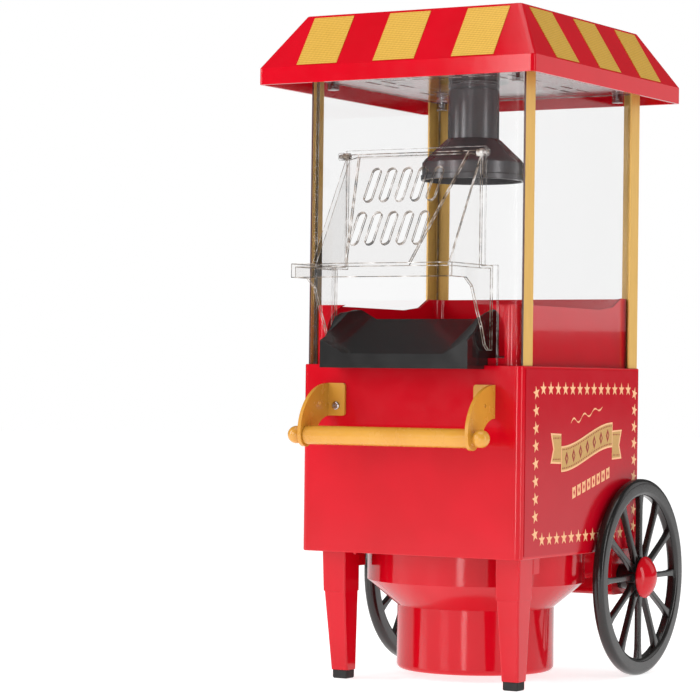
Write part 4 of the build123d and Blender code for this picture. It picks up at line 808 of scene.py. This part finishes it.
# %% Front legs
def tapered(low_ring, high_ring, low_z, high_z, radius_mm):
    """A block between two rectangles (x0, x1, y0, y1), with rounded upright edges."""
    leg = bmesh.new()
    verts = add_block(leg, (0, 0, low_z), (1, 1, high_z))
    for vert in verts:
        top = vert.co.z / MM > (low_z + high_z) / 2
        x0, x1, y0, y1 = high_ring if top else low_ring
        vert.co.x = (x1 if vert.co.x > 0.5 * MM else x0) * MM
        vert.co.y = (y1 if vert.co.y > 0.5 * MM else y0) * MM
    uprights = [e for e in leg.edges if abs((e.verts[0].co - e.verts[1].co).z) > 5 * MM]
    bmesh.ops.bevel(leg, geom=uprights, offset=radius_mm * MM, offset_type="OFFSET", segments=4, profile=0.5,
                    material=-1, affect="EDGES", clamp_overlap=True)
    ends = [e for e in leg.edges if e.calc_face_angle(0.0) > radians(60)]
    bmesh.ops.bevel(leg, geom=ends, offset=0.35 * MM, offset_type="OFFSET", segments=2, profile=0.5,
                    material=-1, affect="EDGES", clamp_overlap=True)
    shade_smooth(leg)
    return leg


STEP = 0.5
SLEEVE_HEIGHT = 28.7
SLEEVE_LEAN_X = 0.8
SLEEVE_LEAN_Y = 0.6
FOOT_IN = 1.6
FOOT_OUT = 4.1
FOOT_FRONT = 7.5
FOOT_REAR = 0.7
UPRIGHT_R = 1.5
for side, sign in (("left", -1), ("right", 1)):
    low, high, _ = node_box("front_leg_" + side)
    inner = min(abs(low.x), abs(high.x))
    outer = max(abs(low.x), abs(high.x))
    front = low.y
    rear = high.y
    sleeve_z = high.z - SLEEVE_HEIGHT
    sleeve_foot = (inner, outer - SLEEVE_LEAN_X, front + SLEEVE_LEAN_Y, rear)
    sleeve = tapered(sleeve_foot, (inner, outer, front, rear), sleeve_z, high.z, UPRIGHT_R)
    shank_head = (inner + STEP, sleeve_foot[1] - STEP, sleeve_foot[2] + STEP, rear - STEP)
    shank_foot = (inner + FOOT_IN, outer - FOOT_OUT, front + FOOT_FRONT, rear - FOOT_REAR)
    shank = tapered(shank_foot, shank_head, low.z, sleeve_z + 1, UPRIGHT_R)
    add_mesh(sleeve, shank)
    if sign < 0:
        bmesh.ops.scale(sleeve, vec=(-1, 1, 1), verts=sleeve.verts)
        bmesh.ops.recalc_face_normals(sleeve, faces=sleeve.faces)
    finish_piece(sleeve, "tapered_leg_" + side, "root", ["front_leg_" + side], cart_red)

# %% [markdown]
# Each side of the cart carries a printed picture: a frame of small stars round a ribbon banner. Print has
# almost no thickness, so each shape is a flat piece less than a tenth of a millimetre thick, and shapes that
# lie on others are lifted a little. All lettering is left out, and plain diamonds and lozenges stand where
# words would be. Places on the label are given as y and as height above its lower edge, in millimetres.

# %% Printed stars
print_gold = moulded("print_pale_gold", (0.80, 0.42, 0.20), (0.88, 0.50, 0.26), (0.35, 0.5), 0.0)
ribbon_gold = metal("print_ribbon_gold", (0.50, 0.28, 0.08), (0.66, 0.40, 0.14), (0.4, 0.55), 0.5,
                    metallic=0.25)
ribbon_red = moulded("print_dark_red", (0.25, 0.006, 0.008), (0.32, 0.008, 0.010), (0.35, 0.5), 0.0)
label_low, label_high, _ = node_box("side_label_right")
PRINT_X = label_high.x
INK = 0.08
STAR_R = 4.8
STAR_NOTCH = 0.40


def flat_shape(target, points_mm, lift=0.0, slot=0):
    """A closed outline on the label, given the thickness of a film of ink."""
    x = (PRINT_X + lift) * MM
    outline = [target.verts.new((x, y * MM, (label_low.z + rise) * MM)) for y, rise in points_mm]
    face = target.faces.new(outline)
    face.normal_update()
    if face.normal.x < 0:
        face.normal_flip()
    face.material_index = slot
    raised = bmesh.ops.extrude_face_region(target, geom=[face])
    top = [item for item in raised["geom"] if isinstance(item, bmesh.types.BMVert)]
    bmesh.ops.translate(target, vec=(INK * MM, 0, 0), verts=top)
    for vert in top:
        for side_face in vert.link_faces:
            side_face.material_index = slot


def star(y, z, turn=0.0):
    """Ten points of a five-pointed star."""
    points = []
    for step in range(10):
        r = STAR_R if step % 2 == 0 else STAR_R * STAR_NOTCH
        angle = radians(90 + 36 * step + turn)
        points.append((y + r * cos(angle), z + r * sin(angle)))
    return points


def star_row(target, start, end, count, turn=0.0):
    """Stars in even steps from one place to another."""
    start = Vector(start)
    end = Vector(end)
    for step in range(count):
        flat_shape(target, star(*start.lerp(end, step / (count - 1)), turn))


def star_frame():
    """Two level rows and two upright ones; the upright ones lean their stars outwards."""
    frame_print = bmesh.new()
    for row_z in (112.1, 10.5):
        star_row(frame_print, (-62.8, row_z), (72.6, row_z), 13)
    for column_y, turn in ((-73.2, 12), (83.4, -12)):
        star_row(frame_print, (column_y, 109.3), (column_y, 14.3), 9, turn)
    return frame_print


# %% [markdown]
# The ribbon is drawn from a centre line: a gentle S from low at the front to high at the rear. Points on it
# are moved up and down by half the ribbon's width for its edges. Short tails stick out behind both ends.

# %% Printed ribbon
def s_curve(t):
    """Height above the low end of the ribbon, from 0 to 1, eased at both ends."""
    return t * t * (3.0 - 2.0 * t)


BAND = ((-35.0, 64.3), (46.5, 80.1))
BAND_WIDTH = 17.6
TAIL_HEIGHT = 20.5


def band_point(t, across):
    """A point on the ribbon; across is -1 on its lower edge and 1 on its upper edge."""
    y = BAND[0][0] + (BAND[1][0] - BAND[0][0]) * t
    z = BAND[0][1] + (BAND[1][1] - BAND[0][1]) * s_curve(t)
    return (y, z + across * BAND_WIDTH / 2)


def band_outline(width, first=0.0, last=1.0, steps=22):
    """The outline of a stretch of the ribbon, as a share of its width."""
    spots = [first + (last - first) * step / steps for step in range(steps + 1)]
    return [band_point(t, -width) for t in spots] + [band_point(t, width) for t in reversed(spots)]


def diamond(y, z, half_y, half_z):
    """Four points round a middle."""
    return [(y + half_y, z), (y, z + half_z), (y - half_y, z), (y, z - half_z)]


def tail(direction, y, z, height):
    """A swallow-tailed end: an outer outline and a smaller inner one."""
    outer = [(y, z + height / 2), (y + 16 * direction, z + height / 2 + 0.6), (y + 12 * direction, z),
             (y + 16 * direction, z - height / 2 + 0.6), (y, z - height / 2)]
    inner = [(y, z + height / 2 - 1.2), (y + 13.6 * direction, z + height / 2 - 0.6),
             (y + 10.2 * direction, z), (y + 13.6 * direction, z - height / 2 + 1.8), (y, z - height / 2 + 1.2)]
    return outer, inner


def ribbon():
    """A pale band with a gold middle, dark stitches along both edges and a row of diamonds."""
    banner = bmesh.new()
    for direction, y, z in ((-1, BAND[0][0], 71.3), (1, BAND[1][0], 72.8)):
        outer, inner = tail(direction, y, z, TAIL_HEIGHT)
        flat_shape(banner, outer, 0.0, 0)
        flat_shape(banner, inner, 0.09, 1)
        for step in range(5):
            stitch_y = y + direction * (2.0 + 2.4 * step)
            for level in (-7.2, 7.2):
                flat_shape(banner, diamond(stitch_y, z + level + 0.2, 0.7, 0.6), 0.18, 2)
    flat_shape(banner, band_outline(1.0), 0.20, 0)
    flat_shape(banner, band_outline(0.86, 0.012, 0.988), 0.29, 1)
    for step in range(30):
        t = 0.03 + 0.94 * step / 29
        for across in (-0.72, 0.72):
            y, z = band_point(t, across)
            flat_shape(banner, diamond(y, z, 0.85, 0.6), 0.38, 2)
    for step in range(7):
        y, z = band_point(0.10 + 0.80 * step / 6, 0.0)
        flat_shape(banner, diamond(y, z, 2.6, 4.6), 0.38, 2)
        flat_shape(banner, diamond(y, z, 1.0, 1.9), 0.47, 1)
    return banner


# %% [markdown]
# Above the ribbon runs a thin flourish, and below it a rising row of lozenges. They balance the picture with
# shapes that mean nothing.

# %% Printed flourish and lozenges
WAVES = 3
LOZENGES = 8


def flourish():
    """A wavy hairline that thickens in the middle of each stroke, and the row of lozenges."""
    strokes = bmesh.new()
    count = 60
    upper = []
    lower = []
    for step in range(count + 1):
        t = step / count
        wave = sin(2 * pi * WAVES * t)
        y = -20.0 + 50.0 * t
        z = 88.8 + 11.0 * t + 2.4 * wave * (1.0 - 0.5 * t)
        half = 0.18 + 0.42 * abs(wave)
        upper.append((y, z + half))
        lower.append((y, z - half))
    flat_shape(strokes, lower + upper[::-1])
    for step in range(LOZENGES):
        t = step / (LOZENGES - 1)
        y = -14.0 + 54.0 * t
        z = 41.3 + 12.0 * t
        flat_shape(strokes, [(y - 2.6, z - 4.6), (y, z - 4.0), (y + 2.6, z - 3.4), (y + 2.6, z + 4.4),
                             (y, z + 3.4), (y - 2.6, z + 3.2)])
        flat_shape(strokes, diamond(y, z - 0.3, 1.2, 2.4), 0.09, 1)
    return strokes


for side, sign in (("right", 1), ("left", -1)):
    for name, drawing, materials in (
        ("star_frame_", star_frame(), [print_gold]),
        ("ribbon_", ribbon(), [print_gold, ribbon_gold, ribbon_red]),
        ("flourish_", flourish(), [print_gold, label_red]),
    ):
        if sign < 0:
            bmesh.ops.scale(drawing, vec=(-1, 1, 1), verts=drawing.verts)
        bmesh.ops.recalc_face_normals(drawing, faces=drawing.faces)
        finish_piece(drawing, "printed_" + name + side, "root", [], materials)
